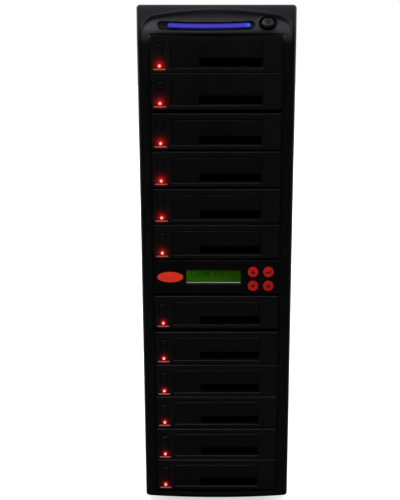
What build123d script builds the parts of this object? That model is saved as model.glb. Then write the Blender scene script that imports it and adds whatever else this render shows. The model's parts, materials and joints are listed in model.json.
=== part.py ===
# Tower hard drive duplicator: a tall steel case with a moulded front bezel, twelve trayless
# drive racks with push-in flaps, and a control panel with a display and four keys between
# the sixth and the seventh rack. Millimetres, +Z up, front towards -Y. The origin is on the
# floor under the middle of the object.
import os
from math import cos, radians, sin, sqrt

from build123d import *

# Case and sheet metal
rail_width = 13.2
chassis_depth = 372.0
foot_height = 15.0
sheet = 1.0
fold = 12.0
cover_reveal = 1.0
roof_reveal = 1.0

# Bay stack, and how far above or below its even place each unit sits, from the top down
bay_pitch = 43.4
upper_shifts = (0.4, 2.0, -0.2, -0.4, -0.7, 0.0)
panel_shift = 0.25
lower_shifts = (-0.6, -2.7, -1.8, -0.4, 0.0, 1.2)
top_band = 31.8
bottom_band = 6.3

# How far a cut runs past the face it opens, and how near an edge must lie to be picked
cut_past = 1.0
pick_margin = 0.01

# Front bezel
bezel_depth = 30.0
bezel_drop = 1.0
bezel_wall = 2.5
bow_radius = 690.0
shoulder_radius = 8.0
top_corner_radius = 4.0
bottom_corner_radius = 2.0
lip_chamfer = 3.0
clip_width = 16.0
clip_reach = 7.0
clip_thickness = 2.0
clip_gap = 0.4
clip_count = 4

# Arch over the light bar, and the pillow that leans back under it
arch_inset = 6.0
arch_rise = 5.8
arch_gap = 5.4
arch_corner_radius = 22.0
pillow_sink = 2.6
brow_back = 10.5

# Light bar and its groove
groove_left = -66.4
groove_right = 43.1
groove_height = 10.4
groove_floor = 6.6
groove_drop = 24.1
smile = 1.3
bar_left = -54.3
bar_right = 37.6
bar_height = 5.4
bar_front = 3.4
bar_rise = 1.0

# Power button
button_x = 57.0
button_drop = 20.3
well_width = 19.9
well_height = 16.2
well_floor = 8.0
button_width = 14.6
button_height = 13.2
button_front = 2.6
button_tilt = 24.0
button_gap = 0.25
button_flange = 1.5
button_flange_thickness = 1.2
button_travel = 2.5
front_board_y = 21.0
front_board_thickness = 1.6
front_board_height = 15.0
front_board_inset = 6.15
board_rib = 3.0
board_rib_x = 34.0

# Rack face
face_setback = 5.0
face_overhang = 1.25
face_gap = 2.1
face_side_gap = 1.9
face_depth = 12.0
face_chamfer = 0.6
jamb_width = 22.05
mouth_bottom = 6.0
mouth_top = 35.8
jamb_lip = 1.0
jamb_lip_depth = 0.8
mouth_edge = 0.5
small_sides = 8
seat_gap = 0.3

# Rack power key and status light
key_inset = 10.05
recess_width = 10.3
recess_bottom = 5.6
recess_top = 33.4
recess_depth = 1.5
key_width = 6.8
key_bottom = 12.5
key_top = 32.0
key_proud = 1.0
key_gap = 0.25
key_travel = 2.0
key_flange = 1.0
key_chamfer = 0.6
face_wall = 2.0
pocket_half_width = 7.2
pocket_bottom = 3.3
pocket_top = 35.4
led_z = 8.1
led_radius = 1.75
led_proud = 1.2
led_gap = 0.1
guide_width = 14.2
guide_height = 1.3
guide_z = 4.4
guide_proud = 0.6
guide_seat = 2.4
switch_board_y = 10.2
switch_board_thickness = 1.6
switch_board_gap = 0.2
switch_body = 6.0

# Flap
flap_gap = 0.4
flap_top_gap = 0.9
flap_thickness = 1.6
flap_pad = 0.8
pivot_radius = 0.8
pivot_play = 0.1
pivot_length = 2.4
pivot_end_play = 0.25
slot_inset = 1.2
slot_width = 70.8
slot_bottom = 7.2
slot_top = 17.1

# Rack body
body_width = 146.0
body_depth = 160.0
body_wall = 1.5
rail_height = 5.0
rail_inset = 1.9
rail_start = 24.0
backplane_inset = 2.0
backplane_height = 38.0
backplane_thickness = 1.6
connector_width = 42.0
connector_height = 8.0
connector_depth = 8.0
connector_inset = 5.2
connector_z = 7.3
contact_width = 36.1
contact_height = 2.8
contact_depth = 4.8

# Control panel
panel_wall = 2.5
panel_rim = 1.2
badge_inset = 3.6
badge_z = 21.95
badge_width = 31.0
badge_height = 12.8
badge_thickness = 1.0
display_left_gap = 3.5
display_right_gap = 14.5
display_bottom = 13.2
display_height = 16.7
display_bevel = 0.8
light_strip = 1.5
glass_thickness = 1.2
module_depth = 7.0
module_margin = 2.6
module_board_margin = 5.9
module_board_height = 33.0
module_board_thickness = 1.6
panel_key_inset = 12.7
panel_key_pitch_x = 18.3
panel_key_z = 11.0
panel_key_pitch_z = 17.2
panel_key_radius = 6.3
panel_key_gap = 0.25
panel_key_proud = 1.6
panel_key_flange = 0.9
panel_key_flange_thickness = 1.0
panel_key_travel = 0.8
keypad_y = 8.0
keypad_thickness = 1.6
tray_height = 22.0
main_board_inset = 9.0
main_board_depth = 132.0
main_board_thickness = 1.6
standoff_height = 6.0
standoff_radius = 3.0
chip_side = 28.0
chip_height = 3.0

# Bay walls
wall_depth = 150.0
wall_slot_length = 24.0
wall_slot_height = 3.6
wall_slot_start = 26.0

# Feet
foot_radius = 11.0
foot_inset_x = 24.0
foot_inset_front = 20.0
foot_inset_rear = 34.0

# Power supply
supply_width = 150.0
supply_fan_room = 2.0
supply_depth = 140.0
supply_drop = 20.0
supply_rim = 3.0
supply_corner = 10.0
supply_fan_x = -24.0
entry_x = 47.0
entry_width = 31.0
entry_height = 50.0
entry_flange = 2.0
entry_body = 22.0
entry_margin = 2.5
entry_gap = 0.25
socket_width = 24.2
socket_height = 16.4
socket_depth = 16.0
socket_chamfer = 4.0
socket_z = -9.5
prong_width = 2.0
prong_height = 4.0
prong_length = 13.0
prong_pitch = 7.0
prong_lift = 2.5
rocker_z = 13.0
rocker_width = 19.0
rocker_height = 12.6
rocker_depth = 9.0
rocker_gap = 0.3
rocker_pin_radius = 1.0
rocker_pin_length = 1.4
rocker_tilt = 12.0
rocker_crown = 1.2

# Fans
fan_size = 80.0
fan_depth = 25.0
fan_bore = 38.0
fan_motor_radius = 16.0
fan_motor_thickness = 3.0
fan_strut_width = 5.0
fan_strut_bite = 1.0
fan_axle_radius = 2.5
fan_axle_length = 16.0
fan_play = 0.08
rotor_gap = 0.4
rotor_length = 17.0
blade_tip = 36.6
blade_count = 7
blade_chord = 17.0
blade_thickness = 1.4
blade_pitch = 40.0
vent_radius = 36.0
vent_slot = 4.6
vent_pitch = 9.0
vent_bridge = 5.0
case_fan_z = 250.0

# Screws
knob_radius = 5.5
knob_length = 7.0
knob_shank = 1.8
shank_reach = 4.0
shank_play = 0.15
knob_inset = 6.5
knob_end = 45.0
knob_sides = 16

# Levels and stations that follow from the sizes above
face_width = body_width + 2 * face_overhang
opening_width = face_width + 2 * face_side_gap
case_width = opening_width + 2 * rail_width
half_width = case_width / 2
seat_shifts = (*upper_shifts, panel_shift, *lower_shifts)
bays_above = len(upper_shifts)
bay_count = len(seat_shifts)
opening_height = bay_count * bay_pitch
bezel_bottom = foot_height - bezel_drop
opening_bottom = bezel_bottom + bottom_band
opening_top = opening_bottom + opening_height
bezel_top = opening_top + top_band
bezel_height = bezel_top - bezel_bottom
arch_half_width = half_width - arch_inset
front_board_half_width = opening_width / 2 - front_board_inset
overall_depth = bezel_depth + chassis_depth + sheet + knob_length
crown_y = -overall_depth / 2
chassis_y = crown_y + bezel_depth
rear_y = chassis_y + chassis_depth
face_y = crown_y + face_setback
body_y = face_y + face_depth
case_half = half_width - cover_reveal
frame_half = case_half - sheet
roof_z = bezel_top - roof_reveal
floor_z = foot_height + sheet
ceiling_z = roof_z - sheet
bow_drop = bow_radius - sqrt(bow_radius**2 - half_width**2)
face_bottom = face_gap / 2
face_height = bay_pitch - face_gap
face_middle = bay_pitch / 2
tunnel_top = face_bottom + face_height - body_wall
body_half = body_width / 2
mouth_half_width = face_width / 2 - jamb_width
tunnel_half = mouth_half_width + jamb_lip
key_x = key_inset - face_width / 2
slot_right = mouth_half_width - slot_inset
slot_left = slot_right - slot_width
backplane_width = body_width - 2 * backplane_inset
connector_x = tunnel_half - connector_inset - connector_width / 2
main_board_width = body_width - 2 * main_board_inset
badge_left = badge_inset - face_width / 2
badge_right = badge_left + badge_width
right_column = face_width / 2 - panel_key_inset
left_column = right_column - panel_key_pitch_x
display_left = badge_right + display_left_gap
display_width = left_column - display_right_gap - display_left
pivot_y = face_y + jamb_lip_depth + seat_gap + flap_thickness / 2
pivot_z = mouth_top - flap_top_gap - flap_thickness / 2
supply_height = fan_size + 2 * (sheet + supply_fan_room)
supply_top = ceiling_z - supply_drop
supply_bottom = supply_top - supply_height
supply_fan_z = (supply_top + supply_bottom) / 2
unit_bases = [
    opening_top - (row + 1) * bay_pitch + shift for row, shift in enumerate(seat_shifts)
]
panel_base = unit_bases[bays_above]
rack_bases = unit_bases[:bays_above] + unit_bases[bays_above + 1 :]


def front_plane(y):
    """Upright plane across the object at y; its sketches are in x and z, and a negative extrusion goes in."""
    return Plane.XZ.offset(-y)


def block(x_span, y_span, z_span, mode=Mode.ADD):
    """Box between two corners, inside the part that is being built."""
    with Locations((sum(x_span) / 2, sum(y_span) / 2, sum(z_span) / 2)):
        Box(
            x_span[1] - x_span[0],
            y_span[1] - y_span[0],
            z_span[1] - z_span[0],
            mode=mode,
        )


def save(part, name):
    part.label = name
    export_step(part, f"parts/{name}.step")


def bowed_plan():
    """Outline of the bezel seen from above: a gently bowed front, rounded shoulders and a flat back."""
    with BuildSketch() as plan:
        with BuildLine():
            ThreePointArc(
                (-half_width, crown_y + bow_drop),
                (0, crown_y),
                (half_width, crown_y + bow_drop),
            )
            Polyline(
                (half_width, crown_y + bow_drop),
                (half_width, chassis_y),
                (-half_width, chassis_y),
                (-half_width, crown_y + bow_drop),
            )
        make_face()
        fillet(plan.vertices().group_by(Axis.Y)[0], radius=shoulder_radius)
    return plan.sketch


def fan_vents(x, z, depth_y):
    """Straight slots of a stamped fan grille round x, z, with a bridge up the middle."""
    rows = int(vent_radius / vent_pitch)
    for row in range(-rows, rows + 1):
        offset = row * vent_pitch
        reach = sqrt(vent_radius**2 - offset**2) - vent_bridge / 2
        if reach > 2 * vent_slot:
            with Locations(
                (x - vent_bridge / 2 - reach / 2, depth_y, z + offset),
                (x + vent_bridge / 2 + reach / 2, depth_y, z + offset),
            ):
                Box(reach, 3 * sheet, vent_slot, mode=Mode.SUBTRACT)


os.makedirs("parts", exist_ok=True)

# Front bezel: a hollow moulding round the bay stack
with BuildPart() as pillow_block:
    with BuildSketch(Plane.XY.offset(opening_top)):
        add(bowed_plan())
    pillow_lean = pillow_sink / (top_band - arch_gap)
    extrude(amount=top_band * sqrt(1 + pillow_lean**2), dir=(0, pillow_lean, 1))

with BuildPart() as arch_recess:
    with BuildSketch(front_plane(crown_y)) as arch:
        arch_top = bezel_top - arch_gap
        with BuildLine():
            Polyline(
                (-arch_half_width, arch_top - arch_rise),
                (-arch_half_width, opening_top),
                (arch_half_width, opening_top),
                (arch_half_width, arch_top - arch_rise),
            )
            ThreePointArc(
                (-arch_half_width, arch_top - arch_rise),
                (0, arch_top),
                (arch_half_width, arch_top - arch_rise),
            )
        make_face()
        fillet(arch.vertices().group_by(Axis.Y)[-1], radius=arch_corner_radius)
    extrude(amount=-bezel_depth)
    add(pillow_block.part, mode=Mode.SUBTRACT)

with BuildPart() as bezel_pocket:
    with BuildSketch(Plane.XY.offset(bezel_bottom + bezel_wall)):
        add(bowed_plan())
        offset(amount=-bezel_wall)
        with Locations((0, chassis_y)):
            Rectangle(case_width - 2 * bezel_wall, 2 * shoulder_radius)
    extrude(amount=bezel_height - 2 * bezel_wall)
    block(
        (-opening_width / 2 - bezel_wall, opening_width / 2 + bezel_wall),
        (crown_y - bezel_wall, chassis_y + shoulder_radius),
        (opening_bottom - bezel_wall, opening_top + bezel_wall),
        mode=Mode.SUBTRACT,
    )
    block(
        (-half_width, half_width),
        (crown_y - bezel_wall, crown_y + brow_back),
        (opening_top, bezel_top),
        mode=Mode.SUBTRACT,
    )

clip_levels = [
    opening_bottom + opening_height * (step + 0.5) / clip_count
    for step in range(clip_count)
]
clip_x = (opening_width / 2 + bezel_wall + half_width - bezel_wall) / 2

with BuildPart() as front_bezel:
    with BuildSketch(Plane.XY.offset(bezel_bottom)):
        add(bowed_plan())
    extrude(amount=bezel_height)
    with BuildSketch(front_plane(crown_y)) as front_outline:
        with Locations((0, (bezel_top + bezel_bottom) / 2)):
            Rectangle(case_width, bezel_height)
        fillet(
            front_outline.vertices().group_by(Axis.Y)[-1], radius=top_corner_radius
        )
        fillet(
            front_outline.vertices().group_by(Axis.Y)[0], radius=bottom_corner_radius
        )
    extrude(amount=-bezel_depth, mode=Mode.INTERSECT)
    add(bezel_pocket.part, mode=Mode.SUBTRACT)
    add(arch_recess.part, mode=Mode.SUBTRACT)
    block(
        (-opening_width / 2, opening_width / 2),
        (crown_y - bezel_wall, chassis_y + bezel_wall),
        (opening_bottom, opening_top),
        mode=Mode.SUBTRACT,
    )
    # Sloped sill on the bottom lip
    lip_edge = (
        front_bezel.edges()
        .filter_by_position(Axis.Z, opening_bottom - pick_margin, opening_bottom + pick_margin)
        .sort_by(Axis.Y)[0]
    )
    chamfer(lip_edge, length=lip_chamfer)
    # Groove of the light bar, and the oval well and guide hole of the power button
    groove_z = bezel_top - groove_drop
    groove_end = groove_height / 2
    groove_arc = Edge.make_three_point_arc(
        (groove_left + groove_end, groove_z + smile),
        ((groove_left + groove_right) / 2, groove_z),
        (groove_right - groove_end, groove_z + smile),
    )
    with BuildSketch(front_plane(crown_y + groove_floor)):
        SlotArc(groove_arc, groove_height)
    extrude(amount=groove_floor + cut_past, mode=Mode.SUBTRACT)
    button_z = bezel_top - button_drop
    with BuildSketch(front_plane(crown_y + well_floor)):
        with Locations((button_x, button_z)):
            SlotOverall(well_width, well_height)
    extrude(amount=well_floor + cut_past, mode=Mode.SUBTRACT)
    with BuildSketch(front_plane(crown_y)):
        with Locations((button_x, button_z)):
            SlotOverall(button_width + 2 * button_gap, button_height + 2 * button_gap)
    extrude(amount=-brow_back - cut_past, mode=Mode.SUBTRACT)
    # Ribs for the board behind the brow, and the snap tongues
    for side in (-1, 1):
        block(
            (
                side * board_rib_x - board_rib / 2,
                side * board_rib_x + board_rib / 2,
            ),
            (crown_y + brow_back, crown_y + front_board_y),
            (opening_top + bezel_wall, button_z + front_board_height / 2),
        )
    for side in (-1, 1):
        for level in clip_levels:
            block(
                (
                    side * clip_x - clip_thickness / 2,
                    side * clip_x + clip_thickness / 2,
                ),
                (chassis_y - bezel_depth / 2, chassis_y + clip_reach),
                (level - clip_width / 2, level + clip_width / 2),
            )
            block(
                (
                    min(side * clip_x, side * (half_width - bezel_wall)),
                    max(side * clip_x, side * (half_width - bezel_wall)),
                ),
                (chassis_y - bezel_depth / 2, chassis_y - bezel_wall),
                (level - clip_thickness / 2, level + clip_thickness / 2),
            )
save(front_bezel.part, "front_bezel")

# Light bar: a lit rod in the groove, standing on its floor
with BuildPart() as light_bar:
    bar_z = groove_z + bar_rise
    bar_end = bar_height / 2
    bar_arc = Edge.make_three_point_arc(
        (bar_left + bar_end, bar_z + smile),
        ((bar_left + bar_right) / 2, bar_z),
        (bar_right - bar_end, bar_z + smile),
    )
    with BuildSketch(front_plane(crown_y + groove_floor)):
        SlotArc(bar_arc, bar_height)
    extrude(amount=groove_floor - bar_front)
save(light_bar.part, "light_bar")

# Power button: an oval cap with a face that leans back, and a flange that keeps it in
flange_y = crown_y + brow_back + seat_gap
with BuildPart() as power_button:
    with BuildSketch(front_plane(flange_y)):
        with Locations((button_x, button_z)):
            SlotOverall(button_width, button_height)
    extrude(amount=flange_y - crown_y - button_front)
    lean = Plane(
        origin=(button_x, crown_y + button_front, button_z - button_height / 2),
        x_dir=(1, 0, 0),
        z_dir=(0, -cos(radians(button_tilt)), sin(radians(button_tilt))),
    )
    split(bisect_by=lean, keep=Keep.BOTTOM)
    with BuildSketch(front_plane(flange_y)):
        with Locations((button_x, button_z)):
            Rectangle(
                button_width + 2 * button_flange, button_height + 2 * button_flange
            )
    extrude(amount=-button_flange_thickness)
save(power_button.part, "power_button")

# Rack face: the moulded front of one drive rack, with the drive mouth, the key recess and
# a pocket behind the key
with BuildPart() as rack_face:
    with BuildSketch(front_plane(face_y)):
        with Locations((0, face_middle)):
            Rectangle(face_width, face_height)
    extrude(amount=-face_depth)
    chamfer(rack_face.faces().sort_by(Axis.Y)[0].edges(), length=face_chamfer)
    with BuildSketch(front_plane(face_y)):
        with Locations((0, (mouth_bottom + mouth_top) / 2)):
            Rectangle(2 * mouth_half_width, mouth_top - mouth_bottom)
    extrude(amount=-face_depth, mode=Mode.SUBTRACT)
    # Behind the lips at the jambs the mouth is as wide as the tunnel
    block(
        (-tunnel_half, tunnel_half),
        (face_y + jamb_lip_depth, body_y),
        (mouth_bottom, mouth_top),
        mode=Mode.SUBTRACT,
    )
    chamfer(
        rack_face.edges()
        .filter_by(Axis.X)
        .filter_by_position(Axis.Y, face_y - pick_margin, face_y + pick_margin)
        .filter_by_position(Axis.Z, mouth_bottom - pick_margin, mouth_bottom + pick_margin),
        length=mouth_edge,
    )
    block(
        (key_x - recess_width / 2, key_x + recess_width / 2),
        (face_y, face_y + recess_depth),
        (recess_bottom, recess_top),
        mode=Mode.SUBTRACT,
    )
    block(
        (
            key_x - key_width / 2 - key_gap,
            key_x + key_width / 2 + key_gap,
        ),
        (face_y, body_y),
        (key_bottom - key_gap, key_top + key_gap),
        mode=Mode.SUBTRACT,
    )
    key_wall_y = face_y + recess_depth + face_wall
    block(
        (key_x - pocket_half_width, key_x + pocket_half_width),
        (key_wall_y, body_y),
        (pocket_bottom, pocket_top),
        mode=Mode.SUBTRACT,
    )
    with BuildSketch(front_plane(face_y)):
        with Locations((key_x, led_z)):
            RegularPolygon(led_radius + led_gap, small_sides)
    extrude(amount=-(recess_depth + face_wall + cut_past), mode=Mode.SUBTRACT)
    block(
        (key_x - guide_width / 2 - led_gap, key_x + guide_width / 2 + led_gap),
        (face_y, face_y + guide_seat),
        (
            guide_z - guide_height / 2 - led_gap,
            guide_z + guide_height / 2 + led_gap,
        ),
        mode=Mode.SUBTRACT,
    )
    # Blind holes for the pivots of the flap
    hole_end = tunnel_half - flap_gap + pivot_length + pivot_end_play
    with BuildSketch(Plane.YZ.offset(-hole_end)):
        with Locations((pivot_y, pivot_z)):
            RegularPolygon(pivot_radius + pivot_play, small_sides, major_radius=False)
    extrude(amount=2 * hole_end, mode=Mode.SUBTRACT)

rack_places = [(0, 0, base) for base in rack_bases]
with BuildPart() as rack_faces:
    with Locations(*rack_places):
        add(rack_face.part)
save(rack_faces.part, "rack_faces")

# Rack flap: a leaf that hangs on two pivots at its top edge and swings in, with the slot
# for small drives cut through it
with BuildPart() as flap:
    leaf_half = tunnel_half - flap_gap
    leaf_top = mouth_top - flap_top_gap
    leaf_bottom = mouth_bottom + flap_gap
    leaf_front = face_y + jamb_lip_depth + seat_gap
    with BuildSketch(front_plane(leaf_front)):
        with Locations((0, (leaf_top + leaf_bottom) / 2)):
            Rectangle(2 * leaf_half, leaf_top - leaf_bottom)
    extrude(amount=-flap_thickness)
    pad_half = mouth_half_width - flap_gap
    with BuildSketch(front_plane(leaf_front)):
        with Locations((0, (leaf_top + leaf_bottom) / 2)):
            Rectangle(2 * pad_half, leaf_top - leaf_bottom)
    extrude(amount=flap_pad)
    chamfer(flap.faces().sort_by(Axis.Y)[0].edges(), length=flap_pad / 2)
    with BuildSketch(front_plane(leaf_front - flap_pad)):
        with Locations(
            ((slot_left + slot_right) / 2, (slot_bottom + slot_top) / 2)
        ):
            Rectangle(slot_right - slot_left, slot_top - slot_bottom)
    extrude(amount=-(flap_pad + flap_thickness), mode=Mode.SUBTRACT)
    with BuildSketch(Plane.YZ.offset(-leaf_half - pivot_length)):
        with Locations((pivot_y, pivot_z)):
            RegularPolygon(pivot_radius, small_sides)
    extrude(amount=2 * (leaf_half + pivot_length))

# Rack power key: a narrow cap, a flange that keeps it in and a stem to its switch
with BuildPart() as rack_key:
    with BuildSketch(front_plane(face_y - key_proud)):
        with Locations((key_x, (key_bottom + key_top) / 2)):
            Rectangle(key_width, key_top - key_bottom)
    extrude(amount=-(key_wall_y + key_gap - face_y + key_proud))
    chamfer(rack_key.faces().sort_by(Axis.Y)[0].edges(), length=key_chamfer)
    with BuildSketch(front_plane(key_wall_y + key_gap)):
        with Locations((key_x, (key_bottom + key_top) / 2)):
            Rectangle(
                key_width + 2 * key_flange, key_top - key_bottom + 2 * key_flange
            )
    extrude(amount=-key_flange)

for number, base in enumerate(rack_bases, start=1):
    save(flap.part.moved(Location((0, 0, base))), f"rack_flap_{number:02d}")
    save(rack_key.part.moved(Location((0, 0, base))), f"rack_key_{number:02d}")

# Status lights: a round lamp under each key and a clear bar below it
with BuildPart() as status_light:
    with BuildSketch(front_plane(face_y + switch_board_y)):
        with Locations((key_x, led_z)):
            RegularPolygon(led_radius, small_sides)
    extrude(amount=switch_board_y - recess_depth + led_proud)
with BuildPart() as light_guide:
    block(
        (key_x - guide_width / 2, key_x + guide_width / 2),
        (face_y - guide_proud, face_y + guide_seat),
        (guide_z - guide_height / 2, guide_z + guide_height / 2),
    )
with BuildPart() as status_lights:
    with Locations(*rack_places):
        add(status_light.part)
save(status_lights.part, "status_lights")
with BuildPart() as light_guides:
    with Locations(*rack_places):
        add(light_guide.part)
save(light_guides.part, "light_guides")

# Switch boards: behind each key, with the switch that it presses
with BuildPart() as switch_board:
    block(
        (
            key_x - pocket_half_width + switch_board_gap,
            key_x + pocket_half_width - switch_board_gap,
        ),
        (face_y + switch_board_y, face_y + switch_board_y + switch_board_thickness),
        (pocket_bottom + switch_board_gap, pocket_top - switch_board_gap),
    )
    key_middle = (key_bottom + key_top) / 2
    key_end = key_wall_y + key_gap + key_flange + key_travel
    block(
        (key_x - switch_body / 2, key_x + switch_body / 2),
        (key_end + seat_gap, face_y + switch_board_y),
        (key_middle - switch_body / 2, key_middle + switch_body / 2),
    )
with BuildPart() as switch_boards:
    with Locations(*rack_places):
        add(switch_board.part)
save(switch_boards.part, "switch_boards")

# Rack body: the moulded cage behind the face, with the drive tunnel and hollow sides
with BuildPart() as rack_body:
    with BuildSketch(front_plane(body_y)):
        with Locations((0, face_middle)):
            Rectangle(body_width, face_height)
        side_left = tunnel_half + body_wall
        side_right = body_half - body_wall
        for side in (-1, 1):
            with Locations((side * (side_left + side_right) / 2, face_middle)):
                Rectangle(
                    side_right - side_left,
                    face_height - 2 * body_wall,
                    mode=Mode.SUBTRACT,
                )
        with Locations((0, (mouth_bottom + tunnel_top) / 2)):
            Rectangle(2 * tunnel_half, tunnel_top - mouth_bottom, mode=Mode.SUBTRACT)
    extrude(amount=-body_depth)
    for side in (-1, 1):
        inner = side * (tunnel_half - rail_inset)
        outer = side * tunnel_half
        block(
            (min(inner, outer), max(inner, outer)),
            (face_y + rail_start, body_y + body_depth),
            (mouth_bottom, mouth_bottom + rail_height),
        )
with BuildPart() as rack_bodies:
    with Locations(*rack_places):
        add(rack_body.part)
save(rack_bodies.part, "rack_bodies")

# Backplane: the board that closes the back of a rack, and its drive connector
back_y = body_y + body_depth
with BuildPart() as backplane:
    block(
        (-backplane_width / 2, backplane_width / 2),
        (back_y, back_y + backplane_thickness),
        (face_middle - backplane_height / 2, face_middle + backplane_height / 2),
    )
with BuildPart() as drive_connector:
    with BuildSketch(front_plane(back_y)):
        with Locations((connector_x, connector_z + connector_height / 2)):
            Rectangle(connector_width, connector_height)
    extrude(amount=connector_depth)
    with BuildSketch(front_plane(back_y - connector_depth)):
        with Locations((connector_x, connector_z + contact_height)):
            Rectangle(contact_width, contact_height)
    extrude(amount=-contact_depth, mode=Mode.SUBTRACT)
with BuildPart() as backplanes:
    with Locations(*rack_places):
        add(backplane.part)
        add(drive_connector.part)
save(backplanes.part, "backplanes")

# Control plate: a shallow moulded tray with a display window, an oval seat and key holes
display_middle = (
    display_left + display_width / 2,
    panel_base + display_bottom + display_height / 2,
)
key_columns = (left_column, right_column)
key_rows = (panel_base + panel_key_z + panel_key_pitch_z, panel_base + panel_key_z)
panel_back_y = face_y + panel_wall
with BuildPart() as control_plate:
    panel_middle = panel_base + face_middle
    with BuildSketch(front_plane(face_y)):
        with Locations((0, panel_middle)):
            Rectangle(face_width, face_height)
    extrude(amount=-face_depth)
    chamfer(control_plate.faces().sort_by(Axis.Y)[0].edges(), length=face_chamfer)
    with BuildSketch(front_plane(panel_back_y)):
        with Locations((0, panel_middle)):
            Rectangle(face_width - 2 * panel_rim, face_height - 2 * panel_rim)
    extrude(amount=-face_depth, mode=Mode.SUBTRACT)
    with BuildSketch(front_plane(face_y)):
        with Locations(display_middle):
            Rectangle(display_width, display_height)
        with Locations(*[(x, z) for x in key_columns for z in key_rows]):
            Circle(panel_key_radius + panel_key_gap)
    extrude(amount=-panel_wall, mode=Mode.SUBTRACT)
    window_edges = (
        control_plate.edges()
        .filter_by_position(Axis.Y, face_y - pick_margin, face_y + pick_margin)
        .filter_by_position(
            Axis.X, display_left - pick_margin, display_left + display_width + pick_margin
        )
        .filter_by(GeomType.LINE)
        .filter_by(lambda edge: edge.length < display_width + pick_margin)
    )
    chamfer(window_edges, length=display_bevel)
save(control_plate.part, "control_plate")

# Oval badge, bare, stuck on the control plate
with BuildPart() as oval_badge:
    with BuildSketch(front_plane(face_y)):
        with Locations(((badge_left + badge_right) / 2, panel_base + badge_z)):
            Ellipse(badge_width / 2, badge_height / 2)
    extrude(amount=badge_thickness)
save(oval_badge.part, "oval_badge")

# Display module: board, frame and the lit edge below the glass
glass_bottom = panel_base + display_bottom + light_strip
glass_height = display_height - light_strip
with BuildPart() as display_module:
    with BuildSketch(front_plane(panel_back_y)):
        with Locations(display_middle):
            Rectangle(
                display_width + 2 * module_margin, display_height + 2 * module_margin
            )
    extrude(amount=-module_depth)
    with BuildSketch(front_plane(panel_back_y)):
        with Locations((display_middle[0], glass_bottom + glass_height / 2)):
            Rectangle(display_width, glass_height)
    extrude(amount=-glass_thickness, mode=Mode.SUBTRACT)
    with BuildSketch(front_plane(panel_back_y + module_depth)):
        with Locations(display_middle):
            Rectangle(display_width + 2 * module_board_margin, module_board_height)
    extrude(amount=-module_board_thickness)
save(display_module.part, "display_module")

with BuildPart() as display_glass:
    with BuildSketch(front_plane(panel_back_y)):
        with Locations((display_middle[0], glass_bottom + glass_height / 2)):
            Rectangle(display_width, glass_height)
    extrude(amount=-glass_thickness)
save(display_glass.part, "display_glass")

# Panel keys: round caps with a square flange behind the plate
with BuildPart() as panel_key:
    with BuildSketch(front_plane(face_y - panel_key_proud)):
        Circle(panel_key_radius)
    extrude(amount=-(panel_key_proud + panel_wall + seat_gap))
    with BuildSketch(front_plane(panel_back_y + seat_gap)):
        Rectangle(
            2 * (panel_key_radius + panel_key_flange),
            2 * (panel_key_radius + panel_key_flange),
        )
    extrude(amount=-panel_key_flange_thickness)
panel_keys = {
    "up_key": (key_columns[0], key_rows[0]),
    "enter_key": (key_columns[1], key_rows[0]),
    "down_key": (key_columns[0], key_rows[1]),
    "escape_key": (key_columns[1], key_rows[1]),
}
for name, (x, z) in panel_keys.items():
    save(panel_key.part.moved(Location((x, 0, z))), name)

# Controller tray: a folded tray in the panel's bay, with standoffs for the main board
tray_floor = panel_base + face_bottom
board_depth_middle = body_y + body_depth / 2
standoff_x = main_board_width / 2 - 2 * standoff_radius
standoff_y = main_board_depth / 2 - 2 * standoff_radius
standoff_places = [
    (x, board_depth_middle + y)
    for x in (-standoff_x, standoff_x)
    for y in (-standoff_y, standoff_y)
]
with BuildPart() as controller_tray:
    with BuildSketch(front_plane(body_y)):
        with Locations((0, tray_floor + tray_height / 2)):
            Rectangle(body_width, tray_height)
        with Locations((0, tray_floor + sheet + tray_height / 2)):
            Rectangle(body_width - 2 * sheet, tray_height, mode=Mode.SUBTRACT)
    extrude(amount=-body_depth)
    with BuildSketch(Plane.XY.offset(tray_floor + sheet)):
        with Locations(*standoff_places):
            RegularPolygon(standoff_radius, 6)
    extrude(amount=standoff_height)
save(controller_tray.part, "controller_tray")

# Circuit boards: the controller, the keypad behind the keys and the board behind the brow
keypad_middle = (key_columns[0] + key_columns[1]) / 2
keypad_half_x = panel_key_pitch_x / 2 + panel_key_radius
main_board_z = tray_floor + sheet + standoff_height
with BuildPart() as circuit_boards:
    block(
        (-main_board_width / 2, main_board_width / 2),
        (
            board_depth_middle - main_board_depth / 2,
            board_depth_middle + main_board_depth / 2,
        ),
        (main_board_z, main_board_z + main_board_thickness),
    )
    chip_base = main_board_z + main_board_thickness
    block(
        (-chip_side / 2, chip_side / 2),
        (board_depth_middle - chip_side / 2, board_depth_middle + chip_side / 2),
        (chip_base, chip_base + chip_height),
    )
    block(
        (keypad_middle - keypad_half_x, keypad_middle + keypad_half_x),
        (face_y + keypad_y, face_y + keypad_y + keypad_thickness),
        (
            panel_base + face_bottom + panel_rim,
            panel_base + face_bottom + face_height - panel_rim,
        ),
    )
    panel_key_end = (
        panel_back_y + seat_gap + panel_key_flange_thickness + panel_key_travel
    )
    for x in key_columns:
        for z in key_rows:
            block(
                (x - switch_body / 2, x + switch_body / 2),
                (panel_key_end + seat_gap, face_y + keypad_y),
                (z - switch_body / 2, z + switch_body / 2),
            )
    block(
        (-front_board_half_width, front_board_half_width),
        (crown_y + front_board_y, crown_y + front_board_y + front_board_thickness),
        (button_z - front_board_height / 2, button_z + front_board_height / 2),
    )
    button_end = flange_y + button_flange_thickness + button_travel
    block(
        (button_x - switch_body / 2, button_x + switch_body / 2),
        (button_end + seat_gap, crown_y + front_board_y),
        (button_z - switch_body / 2, button_z + switch_body / 2),
    )
save(circuit_boards.part, "circuit_boards")

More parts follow.
